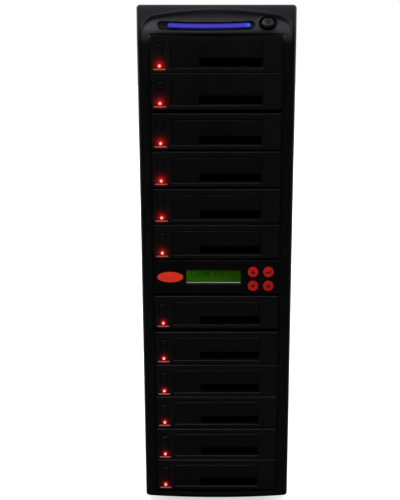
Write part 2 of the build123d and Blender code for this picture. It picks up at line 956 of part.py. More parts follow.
# Base pan: floor sheet with turned-up sides
with BuildPart() as base_pan:
    with BuildSketch(front_plane(chassis_y)):
        with Locations((0, foot_height + fold / 2)):
            Rectangle(2 * frame_half, fold)
        with Locations((0, foot_height + sheet + fold / 2)):
            Rectangle(2 * (frame_half - sheet), fold, mode=Mode.SUBTRACT)
    extrude(amount=-chassis_depth)
save(base_pan.part, "base_pan")

# Top panel: roof sheet with turned-down sides inside the covers
with BuildPart() as top_panel:
    with BuildSketch(front_plane(chassis_y)):
        with Locations((0, roof_z - sheet / 2)):
            Rectangle(2 * case_half, sheet)
        for side in (-1, 1):
            with Locations((side * (frame_half - sheet / 2), ceiling_z - fold / 2)):
                Rectangle(sheet, fold)
    extrude(amount=-chassis_depth)
    block(
        (-frame_half + 2 * fold, frame_half - 2 * fold),
        (rear_y, rear_y + sheet),
        (ceiling_z - fold, roof_z),
    )
save(top_panel.part, "top_panel")

# Front frame: the steel front behind the bezel, with the bay window and clip slots
frame_inner = frame_half - sheet
with BuildPart() as front_frame:
    with BuildSketch(front_plane(chassis_y)):
        with Locations((0, (floor_z + ceiling_z) / 2)):
            Rectangle(2 * frame_inner, ceiling_z - floor_z)
        with Locations((0, (opening_bottom + opening_top) / 2)):
            Rectangle(opening_width, opening_height, mode=Mode.SUBTRACT)
        with Locations(*[(s * clip_x, level) for s in (-1, 1) for level in clip_levels]):
            Rectangle(
                clip_thickness + 2 * clip_gap,
                clip_width + 2 * clip_gap,
                mode=Mode.SUBTRACT,
            )
    extrude(amount=-sheet)
    for side in (-1, 1):
        block(
            (
                min(side * frame_inner, side * (frame_inner - sheet)),
                max(side * frame_inner, side * (frame_inner - sheet)),
            ),
            (chassis_y + sheet, chassis_y + sheet + fold),
            (floor_z, ceiling_z),
        )
save(front_frame.part, "front_frame")

# Bay walls: channels from floor to roof that carry the racks, with screw slots at each bay
wall_front = chassis_y + sheet
with BuildPart() as right_bay_wall:
    with BuildSketch(Plane.XY.offset(floor_z)):
        with Locations(
            (body_half + sheet / 2, wall_front + wall_depth / 2),
        ):
            Rectangle(sheet, wall_depth)
        flange_end = frame_inner - sheet
        with Locations(
            ((body_half + flange_end) / 2, wall_front + sheet / 2),
            ((body_half + flange_end) / 2, wall_front + wall_depth - sheet / 2),
        ):
            Rectangle(flange_end - body_half, sheet)
    extrude(amount=ceiling_z - floor_z)
    slot_y = wall_front + wall_slot_start + wall_slot_length / 2
    with Locations(
        *[(body_half + sheet / 2, slot_y, base + face_middle) for base in unit_bases]
    ):
        Box(3 * sheet, wall_slot_length, wall_slot_height, mode=Mode.SUBTRACT)
    for level in clip_levels:
        block(
            (clip_x - clip_thickness / 2 - clip_gap, clip_x + clip_thickness / 2 + clip_gap),
            (wall_front - sheet, wall_front + sheet),
            (level - clip_width / 2 - clip_gap, level + clip_width / 2 + clip_gap),
            mode=Mode.SUBTRACT,
        )
save(right_bay_wall.part, "right_bay_wall")
with BuildPart() as left_bay_wall:
    add(right_bay_wall.part)
    mirror(about=Plane.YZ, mode=Mode.REPLACE)
save(left_bay_wall.part, "left_bay_wall")

# Rear panel: the steel back, with the window of the power supply and the fan grille
knob_places = [
    (side * (case_half - knob_inset), level)
    for side in (-1, 1)
    for level in (floor_z + knob_end, ceiling_z - knob_end)
]
with BuildPart() as rear_panel:
    with BuildSketch(front_plane(rear_y - sheet)):
        with Locations((0, (floor_z + ceiling_z) / 2)):
            Rectangle(2 * frame_inner, ceiling_z - floor_z)
        with BuildSketch(mode=Mode.SUBTRACT) as supply_window:
            with Locations((0, supply_fan_z)):
                Rectangle(supply_width - 2 * supply_rim, supply_height - 2 * supply_rim)
            chamfer(supply_window.vertices(), length=supply_corner)
        with Locations(*knob_places):
            RegularPolygon(
                knob_shank + shank_play,
                small_sides,
                major_radius=False,
                mode=Mode.SUBTRACT,
            )
    extrude(amount=-sheet)
    for side in (-1, 1):
        block(
            (
                min(side * frame_inner, side * (frame_inner - sheet)),
                max(side * frame_inner, side * (frame_inner - sheet)),
            ),
            (rear_y - sheet - fold, rear_y - sheet),
            (floor_z, ceiling_z),
        )
    fan_vents(0, case_fan_z, rear_y - sheet / 2)
save(rear_panel.part, "rear_panel")

# Side covers: flat sheets with a folded front edge and a rear flange under the knobs
with BuildPart() as right_side_cover:
    with BuildSketch(Plane.XY.offset(foot_height)):
        with Locations((case_half - sheet / 2, (chassis_y + rear_y) / 2)):
            Rectangle(sheet, chassis_depth)
        with Locations((case_half - fold / 2, rear_y + sheet / 2)):
            Rectangle(fold, sheet)
    extrude(amount=ceiling_z - foot_height)
    with BuildSketch(front_plane(rear_y)):
        with Locations(*[place for place in knob_places if place[0] > 0]):
            RegularPolygon(knob_shank + shank_play, small_sides, major_radius=False)
    extrude(amount=-sheet, mode=Mode.SUBTRACT)
save(right_side_cover.part, "right_side_cover")
with BuildPart() as left_side_cover:
    add(right_side_cover.part)
    mirror(about=Plane.YZ, mode=Mode.REPLACE)
save(left_side_cover.part, "left_side_cover")

# Rubber feet
foot_places = [
    (side * (half_width - foot_inset_x), y)
    for side in (-1, 1)
    for y in (chassis_y + foot_inset_front, rear_y - foot_inset_rear)
]
with BuildPart() as rubber_feet:
    with Locations(*[(x, y, foot_height / 2) for x, y in foot_places]):
        Cylinder(foot_radius, foot_height)
save(rubber_feet.part, "rubber_feet")

# Power supply: a hollow steel box against the rear panel
entry_z = supply_fan_z
supply_rear = rear_y - sheet
with BuildPart() as power_supply:
    block(
        (-supply_width / 2, supply_width / 2),
        (supply_rear - supply_depth, supply_rear),
        (supply_bottom, supply_top),
    )
    block(
        (-supply_width / 2 + sheet, supply_width / 2 - sheet),
        (supply_rear - supply_depth + sheet, supply_rear - sheet),
        (supply_bottom + sheet, supply_top - sheet),
        mode=Mode.SUBTRACT,
    )
    fan_vents(supply_fan_x, supply_fan_z, supply_rear - sheet / 2)
    block(
        (
            entry_x - entry_width / 2 + entry_margin - entry_gap,
            entry_x + entry_width / 2 - entry_margin + entry_gap,
        ),
        (supply_rear - 2 * sheet, supply_rear + sheet),
        (
            entry_z - entry_height / 2 + entry_margin - entry_gap,
            entry_z + entry_height / 2 - entry_margin + entry_gap,
        ),
        mode=Mode.SUBTRACT,
    )
save(power_supply.part, "power_supply")

# Power entry: mains inlet and rocker well in one moulding
entry_back = supply_rear + entry_flange
rocker_y = entry_back - rocker_depth / 2
with BuildPart() as power_entry:
    block(
        (entry_x - entry_width / 2, entry_x + entry_width / 2),
        (supply_rear, entry_back),
        (entry_z - entry_height / 2, entry_z + entry_height / 2),
    )
    block(
        (
            entry_x - entry_width / 2 + entry_margin,
            entry_x + entry_width / 2 - entry_margin,
        ),
        (supply_rear - entry_body, supply_rear),
        (
            entry_z - entry_height / 2 + entry_margin,
            entry_z + entry_height / 2 - entry_margin,
        ),
    )
    with BuildSketch(front_plane(entry_back)) as socket:
        with Locations((entry_x, entry_z + socket_z)):
            Rectangle(socket_width, socket_height)
        chamfer(socket.vertices().group_by(Axis.Y)[-1], length=socket_chamfer)
    extrude(amount=socket_depth, mode=Mode.SUBTRACT)
    with Locations(
        (entry_x, entry_back - socket_depth + prong_length / 2, entry_z + socket_z + prong_lift),
    ):
        Box(prong_width, prong_length, prong_height)
    with Locations(
        *[
            (
                entry_x + side * prong_pitch,
                entry_back - socket_depth + prong_length / 2,
                entry_z + socket_z - prong_lift,
            )
            for side in (-1, 1)
        ]
    ):
        Box(prong_width, prong_length, prong_height)
    block(
        (
            entry_x - rocker_width / 2 - rocker_gap,
            entry_x + rocker_width / 2 + rocker_gap,
        ),
        (entry_back - 2 * rocker_depth, entry_back),
        (
            entry_z + rocker_z - rocker_height / 2 - rocker_gap,
            entry_z + rocker_z + rocker_height / 2 + rocker_gap,
        ),
        mode=Mode.SUBTRACT,
    )
    pin_hole_end = rocker_width / 2 + rocker_pin_length + pivot_end_play
    with BuildSketch(Plane.YZ.offset(entry_x - pin_hole_end)):
        with Locations((rocker_y, entry_z + rocker_z)):
            RegularPolygon(
                rocker_pin_radius + pivot_play, small_sides, major_radius=False
            )
    extrude(amount=2 * pin_hole_end, mode=Mode.SUBTRACT)
save(power_entry.part, "power_entry")

# Rocker: a shallow vee on two pins, at rest with its lower half pressed
with BuildPart() as mains_rocker:
    crest = rocker_depth / 2 + rocker_crown
    rocker_half = rocker_height / 2 - crest * sin(radians(rocker_tilt))
    with BuildSketch(Plane.YZ.offset(-rocker_width / 2)):
        with BuildLine():
            Polyline(
                (-rocker_depth / 2, -rocker_half / 2),
                (-rocker_depth / 2, rocker_half / 2),
                (0, rocker_half),
                (crest, rocker_half),
                (rocker_depth / 2, 0),
                (crest, -rocker_half),
                (0, -rocker_half),
                close=True,
            )
        make_face()
    extrude(amount=rocker_width)
    with BuildSketch(Plane.YZ.offset(-rocker_width / 2 - rocker_pin_length)):
        RegularPolygon(rocker_pin_radius, small_sides)
    extrude(amount=rocker_width + 2 * rocker_pin_length)
rocker_rest = Location((entry_x, rocker_y, entry_z + rocker_z), (-rocker_tilt, 0, 0))
save(mains_rocker.part.moved(rocker_rest), "mains_rocker")

# Fans: a square frame with a motor seat on three struts, and a rotor on its axle
with BuildPart() as fan_frame:
    with BuildSketch(front_plane(0)):
        Rectangle(fan_size, fan_size)
        Circle(fan_bore, mode=Mode.SUBTRACT)
    extrude(amount=fan_depth)
    with BuildSketch(front_plane(0)):
        Circle(fan_motor_radius)
        with PolarLocations(0, 3, start_angle=30):
            with Locations((fan_bore / 2, 0)):
                Rectangle(fan_bore + fan_strut_bite, fan_strut_width)
    extrude(amount=fan_motor_thickness)
    with BuildSketch(front_plane(0)):
        Circle(fan_axle_radius)
    extrude(amount=fan_motor_thickness + fan_axle_length)
fan_places = {
    "case_fan_rotor": (0, rear_y - sheet, case_fan_z),
    "supply_fan_rotor": (supply_fan_x, supply_rear - sheet, supply_fan_z),
}
with BuildPart() as fan_frames:
    with Locations(*fan_places.values()):
        add(fan_frame.part)
save(fan_frames.part, "fan_frames")

with BuildPart() as fan_rotor:
    hub_back = fan_motor_thickness + rotor_gap
    with BuildSketch(front_plane(-hub_back)):
        Circle(fan_motor_radius)
    extrude(amount=rotor_length)
    for turn in range(blade_count):
        around = Rotation(0, 360 * turn / blade_count, 0)
        blade_root = Plane(origin=(0, -hub_back - rotor_length / 2, 0), z_dir=(1, 0, 0))
        with BuildSketch(Plane(around * blade_root.location)):
            Rectangle(blade_thickness, blade_chord, rotation=blade_pitch)
        extrude(amount=blade_tip)
    with BuildSketch(front_plane(-hub_back)):
        Circle(fan_axle_radius + fan_play)
    extrude(amount=rotor_length, mode=Mode.SUBTRACT)
for name, place in fan_places.items():
    save(fan_rotor.part.moved(Location(place)), name)

# Thumbscrews that hold the side covers
with BuildPart() as thumbscrews:
    with BuildSketch(front_plane(rear_y + sheet)):
        with Locations(*knob_places):
            RegularPolygon(knob_radius, knob_sides)
    extrude(amount=-knob_length)
    with BuildSketch(front_plane(rear_y + sheet)):
        with Locations(*knob_places):
            RegularPolygon(knob_shank, small_sides)
    extrude(amount=shank_reach)
save(thumbscrews.part, "thumbscrews")
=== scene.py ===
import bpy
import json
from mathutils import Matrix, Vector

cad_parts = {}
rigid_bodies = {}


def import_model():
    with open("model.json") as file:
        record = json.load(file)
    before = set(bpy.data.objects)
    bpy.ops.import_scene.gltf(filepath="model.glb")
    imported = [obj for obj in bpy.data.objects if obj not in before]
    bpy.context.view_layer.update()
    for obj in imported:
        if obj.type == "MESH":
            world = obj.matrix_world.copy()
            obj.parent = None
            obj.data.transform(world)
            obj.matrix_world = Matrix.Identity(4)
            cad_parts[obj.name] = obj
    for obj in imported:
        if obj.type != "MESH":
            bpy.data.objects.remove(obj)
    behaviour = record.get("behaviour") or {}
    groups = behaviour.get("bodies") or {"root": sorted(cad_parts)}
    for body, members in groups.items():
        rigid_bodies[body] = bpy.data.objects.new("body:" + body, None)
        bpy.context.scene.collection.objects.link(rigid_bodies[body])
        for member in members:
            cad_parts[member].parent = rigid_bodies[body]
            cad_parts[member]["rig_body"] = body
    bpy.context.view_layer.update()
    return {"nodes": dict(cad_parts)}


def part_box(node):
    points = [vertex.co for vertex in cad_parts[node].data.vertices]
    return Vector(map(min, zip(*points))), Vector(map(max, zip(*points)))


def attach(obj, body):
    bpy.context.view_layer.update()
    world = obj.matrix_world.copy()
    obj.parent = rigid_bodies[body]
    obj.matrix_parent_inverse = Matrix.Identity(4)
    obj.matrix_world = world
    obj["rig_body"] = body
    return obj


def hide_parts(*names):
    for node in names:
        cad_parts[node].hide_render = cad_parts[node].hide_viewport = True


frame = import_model()

import json
from math import pi, radians, sqrt, tan

import bmesh
import bpy
import numpy as np
from mathutils import Vector

mm = 0.001
tiny = 1e-6
nodes = frame["nodes"]
flapNames = sorted(name for name in nodes if name.startswith("rack_flap"))
keyNames = sorted(name for name in nodes if name.startswith("rack_key"))
bodyOf = {name: nodes[name]["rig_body"] for name in nodes}

# Levels that the pieces share, read from the frame, in millimetres
bezelLow, bezelHigh = (np.array(corner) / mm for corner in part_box("front_bezel"))
facesLow, facesHigh = (np.array(corner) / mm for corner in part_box("rack_faces"))
crownY = bezelLow[1]
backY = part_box("front_frame")[0].y / mm
faceY = facesLow[1]
topZ = bezelHigh[2]
bottomZ = bezelLow[2]
halfWidth = bezelHigh[0]
bands = {"top": 31.8, "bottom": 6.3, "side": 1.9}  # the bezel's bands, and the gap beside the racks
openHalf = facesHigh[0] + bands["side"]
openTop = topZ - bands["top"]
openBottom = bottomZ + bands["bottom"]
feet = {"flap": 6.4, "face": 1.05}  # from the foot of a bay to the flap's and the face's lower edge
rackBases = [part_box(name)[0].z / mm - feet["flap"] for name in flapNames]
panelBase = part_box("control_plate")[0].z / mm - feet["face"]
print("frame read:", len(nodes), "nodes,", len(rackBases), "racks")


# Shader maths: a Wire is one socket of a material's tree, and sums of Wires add Math nodes
class Wire:
    def __init__(self, tree, socket=None):
        self.tree = tree
        self.socket = socket

    # any other node: its settings first, then the values or links of its sockets
    def node(self, kind, settings={}, sockets={}, out=0):
        made = self.tree.nodes.new(kind)
        for name, value in settings.items():
            setattr(made, name, value)
        for name, value in sockets.items():
            plug(made.inputs[name], value)
        return Wire(self.tree, made.outputs[out])

    def maths(self, operation, *values):
        return self.node("ShaderNodeMath", {"operation": operation}, dict(enumerate(values)))

    def __add__(self, other): return self.maths("ADD", self, other)
    def __sub__(self, other): return self.maths("SUBTRACT", self, other)
    def __rsub__(self, other): return self.maths("SUBTRACT", other, self)
    def __mul__(self, other): return self.maths("MULTIPLY", self, other)
    def __truediv__(self, other): return self.maths("DIVIDE", self, other)
    def __pow__(self, exponent): return self.maths("POWER", self, exponent)
    __radd__ = __add__
    __rmul__ = __mul__

    def clip(self): return self.maths("MINIMUM", self.maths("MAXIMUM", self, 0), 1)
    def root(self): return self.maths("SQRT", self)
    def size(self): return self.maths("ABSOLUTE", self)
    def over(self, other): return self.maths("MAXIMUM", self, other)

    # 0 at first and before it, 1 at last and beyond it
    def ramp(self, first, last): return ((self - first) / (last - first)).clip()


def plug(target, value):
    if isinstance(value, Wire):
        target.id_data.links.new(value.socket, target)
    else:
        target.default_value = value


# the colour between two colours by a mask
def blendColour(mask, first, second):
    tree = mask.tree
    made = tree.nodes.new("ShaderNodeMix")
    made.data_type = "RGBA"
    plug(made.inputs["Factor"], mask)
    for name, colour in (("A", first), ("B", second)):
        socket = [s for s in made.inputs if s.name == name and s.type == "RGBA"][0]
        plug(socket, colour if isinstance(colour, Wire) else (*colour, 1))
    return Wire(tree, [s for s in made.outputs if s.type == "RGBA"][0])


def tinted(colour, factor):
    return tuple(factor * c for c in colour)


# a vector stretched by three factors
def stretched(wire, vector, factors):
    sockets = {"Vector": vector, "Scale": factors}
    return wire.node("ShaderNodeMapping", {"vector_type": "POINT"}, sockets)


# object coordinates in millimetres: x, y and z, and all three as one vector
def places(wire):
    spot = stretched(wire, wire.node("ShaderNodeTexCoord", out="Object"), (1 / mm,) * 3)
    parts = wire.node("ShaderNodeSeparateXYZ", {}, {"Vector": spot})
    return [Wire(wire.tree, parts.socket.node.outputs[axis]) for axis in "XYZ"] + [spot]


# noise on object coordinates, size in millimetres
def mottle(wire, spot, size, detail=2.0, roughness=0.5):
    return wire.node(
        "ShaderNodeTexNoise",
        {"noise_dimensions": "3D"},
        {"Vector": spot, "Scale": 1.0 / size, "Detail": detail, "Roughness": roughness},
        out="Fac",
    )


# noise between two strengths
def streaked(wire, spot, streaks, detail=2.0):
    noise = mottle(wire, spot, streaks["size"], detail)
    return streaks["least"] + streaks["more"] * noise


materials = {}


# a material from a function that gives its Principled sockets, made once for each name
def finish(name, sockets):
    if name in materials:
        return materials[name]
    made = bpy.data.materials.new(name)
    made.use_nodes = True
    shader = made.node_tree.nodes["Principled BSDF"]
    for socket, value in sockets(Wire(made.node_tree)).items():
        plug(shader.inputs[socket], value)
    materials[name] = made
    return made


# turns such a function into one that gives the material of its name
def material(sockets):
    return lambda: finish(sockets.__name__, sockets)


# Sockets of a plain surface: a mask varies its colour between two shades, more masks vary its
# gloss about the middle, and the last of them raises its bump
def surface(wire, look, mask, *masks, pair=None):
    gloss = look["roughness"]
    for amount, each in zip(look["gloss"], masks):
        gloss = gloss + amount * (each - 0.5)
    shades = pair or [tinted(look["base"], factor) for factor in look["shades"]]
    sockets = {
        "Base Color": blendColour(mask, *shades),
        "Roughness": gloss.clip(),
        "Specular IOR Level": look["specular"],
    }
    if "bump" in look:
        bump = {"Strength": look["bump"], "Distance": look["depth"], "Height": masks[-1]}
        sockets["Normal"] = wire.node("ShaderNodeBump", {}, bump)
    return sockets


# Sockets of a piece that shines: its light's colour, and a mask that varies its gloss
def shining(look, mask, light, base=None):
    return {
        "Base Color": base or (*look["base"], 1),
        "Roughness": look["roughness"] + look["gloss"] * mask,
        "Emission Color": light,
        "Emission Strength": look["strength"],
        "Specular IOR Level": look["specular"],
    }


# height above the foot of the bay that the level z lies in; the racks don't sit evenly, so
# the feet are counted up in steps
def rackRise(z):
    base = rackBases[-1]
    for lower, upper in zip(rackBases[:0:-1], rackBases[-2::-1]):
        base = z.maths("GREATER_THAN", z, upper + glow["gap"]) * (upper - lower) + base
    return z - base


# Painted light: the red glow of each status lamp on the plastic round it, laid on as emission;
# it falls off as the fourth power of the distance to the nearest lamp, faster below the clear
# bar under it, and is smaller for the lower racks
glow = {
    "x": -64.2,
    "height": 8.1,
    "gap": 0.8,
    "half": 4.2,
    "lowHalf": 2.5,
    "shrinks": (panelBase - 60.0, panelBase + 140.0),
    "below": 1.4,
    "above": 0.85,
    "reach": 17.0,
    "streaks": {"size": 1.6, "least": 0.75, "more": 0.5},
    "colour": (1.0, 0.012, 0.014),
    "strength": 1.0,
}


def paintedLampGlow(wire, x, z, spot):
    across = x - glow["x"]
    level = rackRise(z) - glow["height"]
    below = (0 - level).over(0) * glow["below"]
    above = level.over(0) * glow["above"]
    square = across * across + above * above + below * below
    half = glow["lowHalf"] + (glow["half"] - glow["lowHalf"]) * z.ramp(*glow["shrinks"])
    spread = 1 + square / (half * half)
    ends = (1 - square.root() / glow["reach"]).clip()
    streaks = streaked(wire, spot, glow["streaks"], detail=1.0)
    return (ends * streaks / (spread * spread)).clip()


# Moulded plastic: fine grain in the bump, slight mottling in colour and gloss
mould = {
    "broad": 38.0,
    "mix": (0.7, 0.3),
    "shades": (0.72, 1.25),
    "gloss": (0.14, 0.1),
    "depth": 0.00006,
}
plasticFields = ("base", "roughness", "grain", "bump", "specular")
plastics = {
    "bezel": ((0.0013, 0.0013, 0.0014), 0.42, 0.4, 0.2, 0.12),
    "rack": ((0.001, 0.001, 0.0011), 0.42, 0.4, 0.2, 0.2),
    "flap": ((0.001, 0.001, 0.0011), 0.4, 0.3, 0.12, 0.16),
    "key": ((0.0015, 0.0015, 0.0016), 0.38, 0.3, 0.12, 0.16),
    "panel": ((0.0016, 0.0015, 0.0016), 0.45, 0.4, 0.2, 0.07),
    "cap": ((0.006, 0.006, 0.0068), 0.42, 0.35, 0.2, 0.2),
    "cage": ((0.0012, 0.0012, 0.0013), 0.6, 0.5, 0.2, 0.03),
    "fan": ((0.006, 0.006, 0.0065), 0.45, 0.5, 0.1, 0.2),
    "entry": ((0.006, 0.006, 0.006), 0.4, 0.5, 0.1, 0.2),
}

# The bezel's top band is painted paler than the rest, as painted light from above. Pairs are
# where an effect starts and is full, as distances across from the middle, down from the top or
# in from the bowed front.
topBandLight = {
    "base": (0.0148, 0.0142, 0.0184),
    "shades": (0.8, 1.2),
    "down": (42.0, 28.5),
    "sag": 6.0,
    "sagAcross": (76.0, 64.0),
    "outer": 0.5,
    "outerAcross": (83.0, 85.0),
    "outerDown": (12.0, 24.0),
    "hollow": 0.8,
    "hollowIn": (5.8, 7.0),
    "hollowDown": (15.0, 18.0),
    "paler": 1.9,
    "upper": 0.6,
    "upperDown": (9.0, 0.0),
    "patchAcross": (60.0, 70.0),
    "patchDown": (16.0, 21.0),
}


# two shades of the bezel, with painted light and shade: the band's painted light fades out at
# its foot, which lies higher in the middle. Painted shade darkens it outside the arch and in
# the hollows of the groove and the well, and painted highlights make it paler at the upper edge
# and at the arch's lower corners.
def bandLightAndShade(x, y, z, base):
    across, down = x.size(), topZ - z
    sag = topBandLight["sag"] * across.ramp(*topBandLight["sagAcross"])
    outer = across.ramp(*topBandLight["outerAcross"]) * down.ramp(*topBandLight["outerDown"])
    inwards = y - crownY - x * x * (0.5 / bezel["bowRadius"])
    hollow = inwards.ramp(*topBandLight["hollowIn"]) * down.ramp(*topBandLight["hollowDown"])
    rise = (down + sag).ramp(*topBandLight["down"])
    rise = rise * (1 - topBandLight["outer"] * outer) * (1 - topBandLight["hollow"] * hollow)
    cornerHighlight = across.ramp(*topBandLight["patchAcross"]) * down.ramp(*topBandLight["patchDown"]) * (1 - outer)
    paintedHighlight = (down.ramp(*topBandLight["upperDown"]) * topBandLight["upper"]).over(cornerHighlight)
    pair = []
    for dull, factor in zip(mould["shades"], topBandLight["shades"]):
        plain = tinted(topBandLight["base"], factor)
        lit = blendColour(paintedHighlight, plain, tinted(plain, topBandLight["paler"]))
        pair.append(blendColour(rise, tinted(base, dull), lit))
    return pair


def moulded(wire, look, lamps, paintedBandLight):
    x, y, z, spot = places(wire)
    fine = mottle(wire, spot, look["grain"], detail=3.0, roughness=0.6)
    broad = mottle(wire, spot, look["broad"])
    mask = (broad * look["mix"][0] + fine * look["mix"][1]).clip()
    # on the bezel, the top band's painted light and shade take the place of the plain shades
    pair = bandLightAndShade(x, y, z, look["base"]) if paintedBandLight else None
    sockets = surface(wire, look, mask, broad, fine, pair=pair)
    # painted light: the status lamps' red glow, laid on this plastic as emission
    if lamps:
        lit = paintedLampGlow(wire, x, z, spot)
        sockets["Emission Color"] = blendColour(lit, (0, 0, 0), glow["colour"])
        sockets["Emission Strength"] = glow["strength"]
    return sockets


def plastic(kind, lamps=False, paintedBandLight=False):
    look = {**mould, **dict(zip(plasticFields, plastics[kind]))}
    return finish(kind + "Plastic", lambda wire: moulded(wire, look, lamps, paintedBandLight))


# Powder coat on steel sheet: an orange-peel bump over a slow mottling
powder = {
    "base": (0.009, 0.009, 0.0098),
    "shades": (0.8, 1.2),
    "roughness": 0.46,
    "gloss": (0.16, 0.1),
    "specular": 0.35,
    "bump": 0.35,
    "depth": 0.0001,
    "slow": 90.0,
    "peel": 0.9,
}


@material
def powderCoat(wire):
    spot = places(wire)[-1]
    peel = mottle(wire, spot, powder["peel"])
    slow = mottle(wire, spot, powder["slow"], detail=3.0)
    return surface(wire, powder, slow, slow, peel)


# Zinc-plated steel: brushed along x, with a crystalline mottling
zinc = {
    "base": (0.42, 0.42, 0.44),
    "shades": (0.8, 1.12),
    "roughness": 0.39,
    "gloss": (0.06, 0.2),
    "specular": 0.5,
    "bump": 0.1,
    "depth": 0.00005,
    "mix": (0.5, 0.4),
    "brush": 0.6,
    "stretch": (0.05, 1, 1),
    "spangle": 9.0,
}


@material
def zincSteel(wire):
    spot = places(wire)[-1]
    brushed = mottle(wire, stretched(wire, spot, zinc["stretch"]), zinc["brush"], detail=3.0)
    cells = {"Vector": spot, "Scale": 1 / zinc["spangle"]}
    spangle = wire.node("ShaderNodeTexVoronoi", {"feature": "F1"}, cells)
    mask = (zinc["mix"][0] * brushed + zinc["mix"][1] * spangle).clip()
    return {**surface(wire, zinc, mask, spangle, brushed), "Metallic": 1.0}


# Circuit board: green mask with darker copper runs under it
circuit = {
    "mask": (0.008, 0.085, 0.03, 1),
    "copper": (0.02, 0.16, 0.06, 1),
    "run": 2.4,
    "gap": 0.2,
    "offset": 0.3,
    "roughness": 0.35,
    "specular": 0.5,
}


@material
def circuitBoard(wire):
    sockets = {
        "Vector": places(wire)[-1],
        "Color1": circuit["mask"],
        "Color2": circuit["copper"],
        "Mortar": circuit["mask"],
        "Scale": 1 / circuit["run"],
        "Mortar Size": circuit["gap"],
    }
    return {
        "Base Color": wire.node("ShaderNodeTexBrick", {"offset": circuit["offset"]}, sockets),
        "Roughness": circuit["roughness"],
        "Specular IOR Level": circuit["specular"],
    }


rubber = {
    "base": (0.006, 0.006, 0.006),
    "shades": (0.7, 1.6),
    "roughness": 0.8,
    "gloss": (0.15,),
    "specular": 0.2,
    "bloom": 5.0,
}


@material
def footRubber(wire):
    bloom = mottle(wire, places(wire)[-1], rubber["bloom"], detail=4.0)
    return surface(wire, rubber, bloom, bloom)


print("materials ready")


def linked(name, data):
    made = bpy.data.objects.new(name, data)
    bpy.context.scene.collection.objects.link(made)
    return made


# a mesh object in millimetres, with its material, body and the nodes that it replaces;
# doubled points are merged, faces without area dropped, and all faces turned outwards
def add(name, shape, skin, body, slot, replaced=(), crease=35):
    points, faces = shape
    mesh = bpy.data.meshes.new(name)
    mesh.from_pydata(np.asarray(points, float) * mm, [], faces)
    mesh.validate()
    work = bmesh.new()
    work.from_mesh(mesh)
    bmesh.ops.remove_doubles(work, verts=work.verts, dist=tiny)
    bmesh.ops.dissolve_degenerate(work, dist=tiny, edges=work.edges)
    bmesh.ops.recalc_face_normals(work, faces=work.faces)
    work.to_mesh(mesh)
    work.free()
    mesh.update()
    mesh.shade_smooth()
    mesh.set_sharp_from_angle(angle=radians(crease))
    mesh.materials.append(skin)
    made = linked(name, mesh)
    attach(made, body)
    if replaced:
        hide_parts(*replaced)
    return made


# quads of a grid with rows x columns points, optionally closed on itself either way
def gridFaces(rows, columns, closedRows=False, closedColumns=False, keep=None):
    last = rows if closedRows else rows - 1
    final = columns if closedColumns else columns - 1
    row, column = np.meshgrid(np.arange(last), np.arange(final), indexing="ij")
    nextRow, nextColumn = (row + 1) % rows, (column + 1) % columns
    corners = ((row, column), (row, nextColumn), (nextRow, nextColumn), (nextRow, column))
    quads = np.stack([down * columns + over for down, over in corners], axis=-1)
    return quads[keep] if keep is not None else quads.reshape(-1, 4)


# quads between two closed loops of point numbers that run side by side
def stripFaces(first, second):
    return np.stack([first, np.roll(first, -1), np.roll(second, -1), second], axis=-1)


# eases from 0 to 1 as three t squared less two t cubed
def smooth(t):
    t = np.clip(t, 0, 1)
    return t * t * (3 - 2 * t)


# a bell-shaped ridge: falls off with the square of the distance in the exponent
def ridge(distance, width):
    return np.exp(-((distance / width) ** 2))


# quarter circle that rounds an edge: pairs of (inset, drop) from the side wall to the front
def rounding(radius, steps=6):
    turn = np.linspace(0, pi / 2, steps)
    return np.column_stack([radius * (1 - np.cos(turn)), radius * (1 - np.sin(turn))])


# Front bezel: one moulding, as a closed shell. The outer sheet is a grid that runs round
# the plan outline (side, shoulder, bowed front, shoulder, side) and up the height, rolled
# over at its ends; relief pushes it in along y.
bezel = {
    "bowRadius": 690.0,
    "shoulderRadius": 6.0,
    "wall": 2.5,
    "frontRoll": 2.0,
    "sideRoll": 4.0,
    "leanSlope": 0.095,
    "leanFull": 27.0,
    "leanFoot": 42.0,
    "archHalf": 83.6,
    "archTop": 5.4,
    "archBend": 0.0013,
    "archCorner": 15.0,
    "archStep": 1.0,
    "archTopStep": 3.6,
    "bead": {"height": 0.35, "out": 0.45, "width": 0.5, "fade": 6.0},
    "scoopSlope": 0.33,
    "scoopTop": 10.0,
    "scoopFull": 20.0,
    "scoopBack": 25.0,
    "scoopFoot": 35.5,
    "sideSink": 0.9,
    "sideFade": (46.0, 14.0),
    "rebate": 1.2,
    "rebateIn": 1.6,
    "lipBack": 1.6,
    "lipSlope": 2.6,
    "browRoll": 1.0,
    "jambRoll": 1.0,
    "cell": 0.55,
    "edgeCell": 0.45,
    "railCell": 22.0,
    "lipRows": 14,
}
groove = {
    "left": -66.4,
    "right": 43.1,
    "drop": 24.1,
    "smile": 1.3,
    "height": 10.6,
    "floor": 6.6,
    "upperWall": 1.3,
    "lowerWall": 4.6,
    "change": 2.0,
}
button = {
    "x": 57.0,
    "drop": 20.3,
    "wellX": 57.4,
    "wellWidth": 20.8,
    "wellHeight": 16.2,
    "wellFloor": 8.0,
    "wellWall": 1.3,
    "rim": {"height": 0.35, "out": 0.6, "width": 0.5},
    "width": 14.6,
    "height": 13.2,
    "gap": 0.3,
    "shaft": 13.6,
    "shaftWall": 0.9,
    "front": 2.6,
    "tilt": 24.0,
}
grooveMiddle = (groove["left"] + groove["right"]) / 2
grooveReach = (groove["right"] - groove["left"] - groove["height"]) / 2


# how far the groove's or the light bar's centre line lies below the bezel's top
def smileLine(x, drop):
    return drop - groove["smile"] * ((x - grooveMiddle) / grooveReach) ** 2


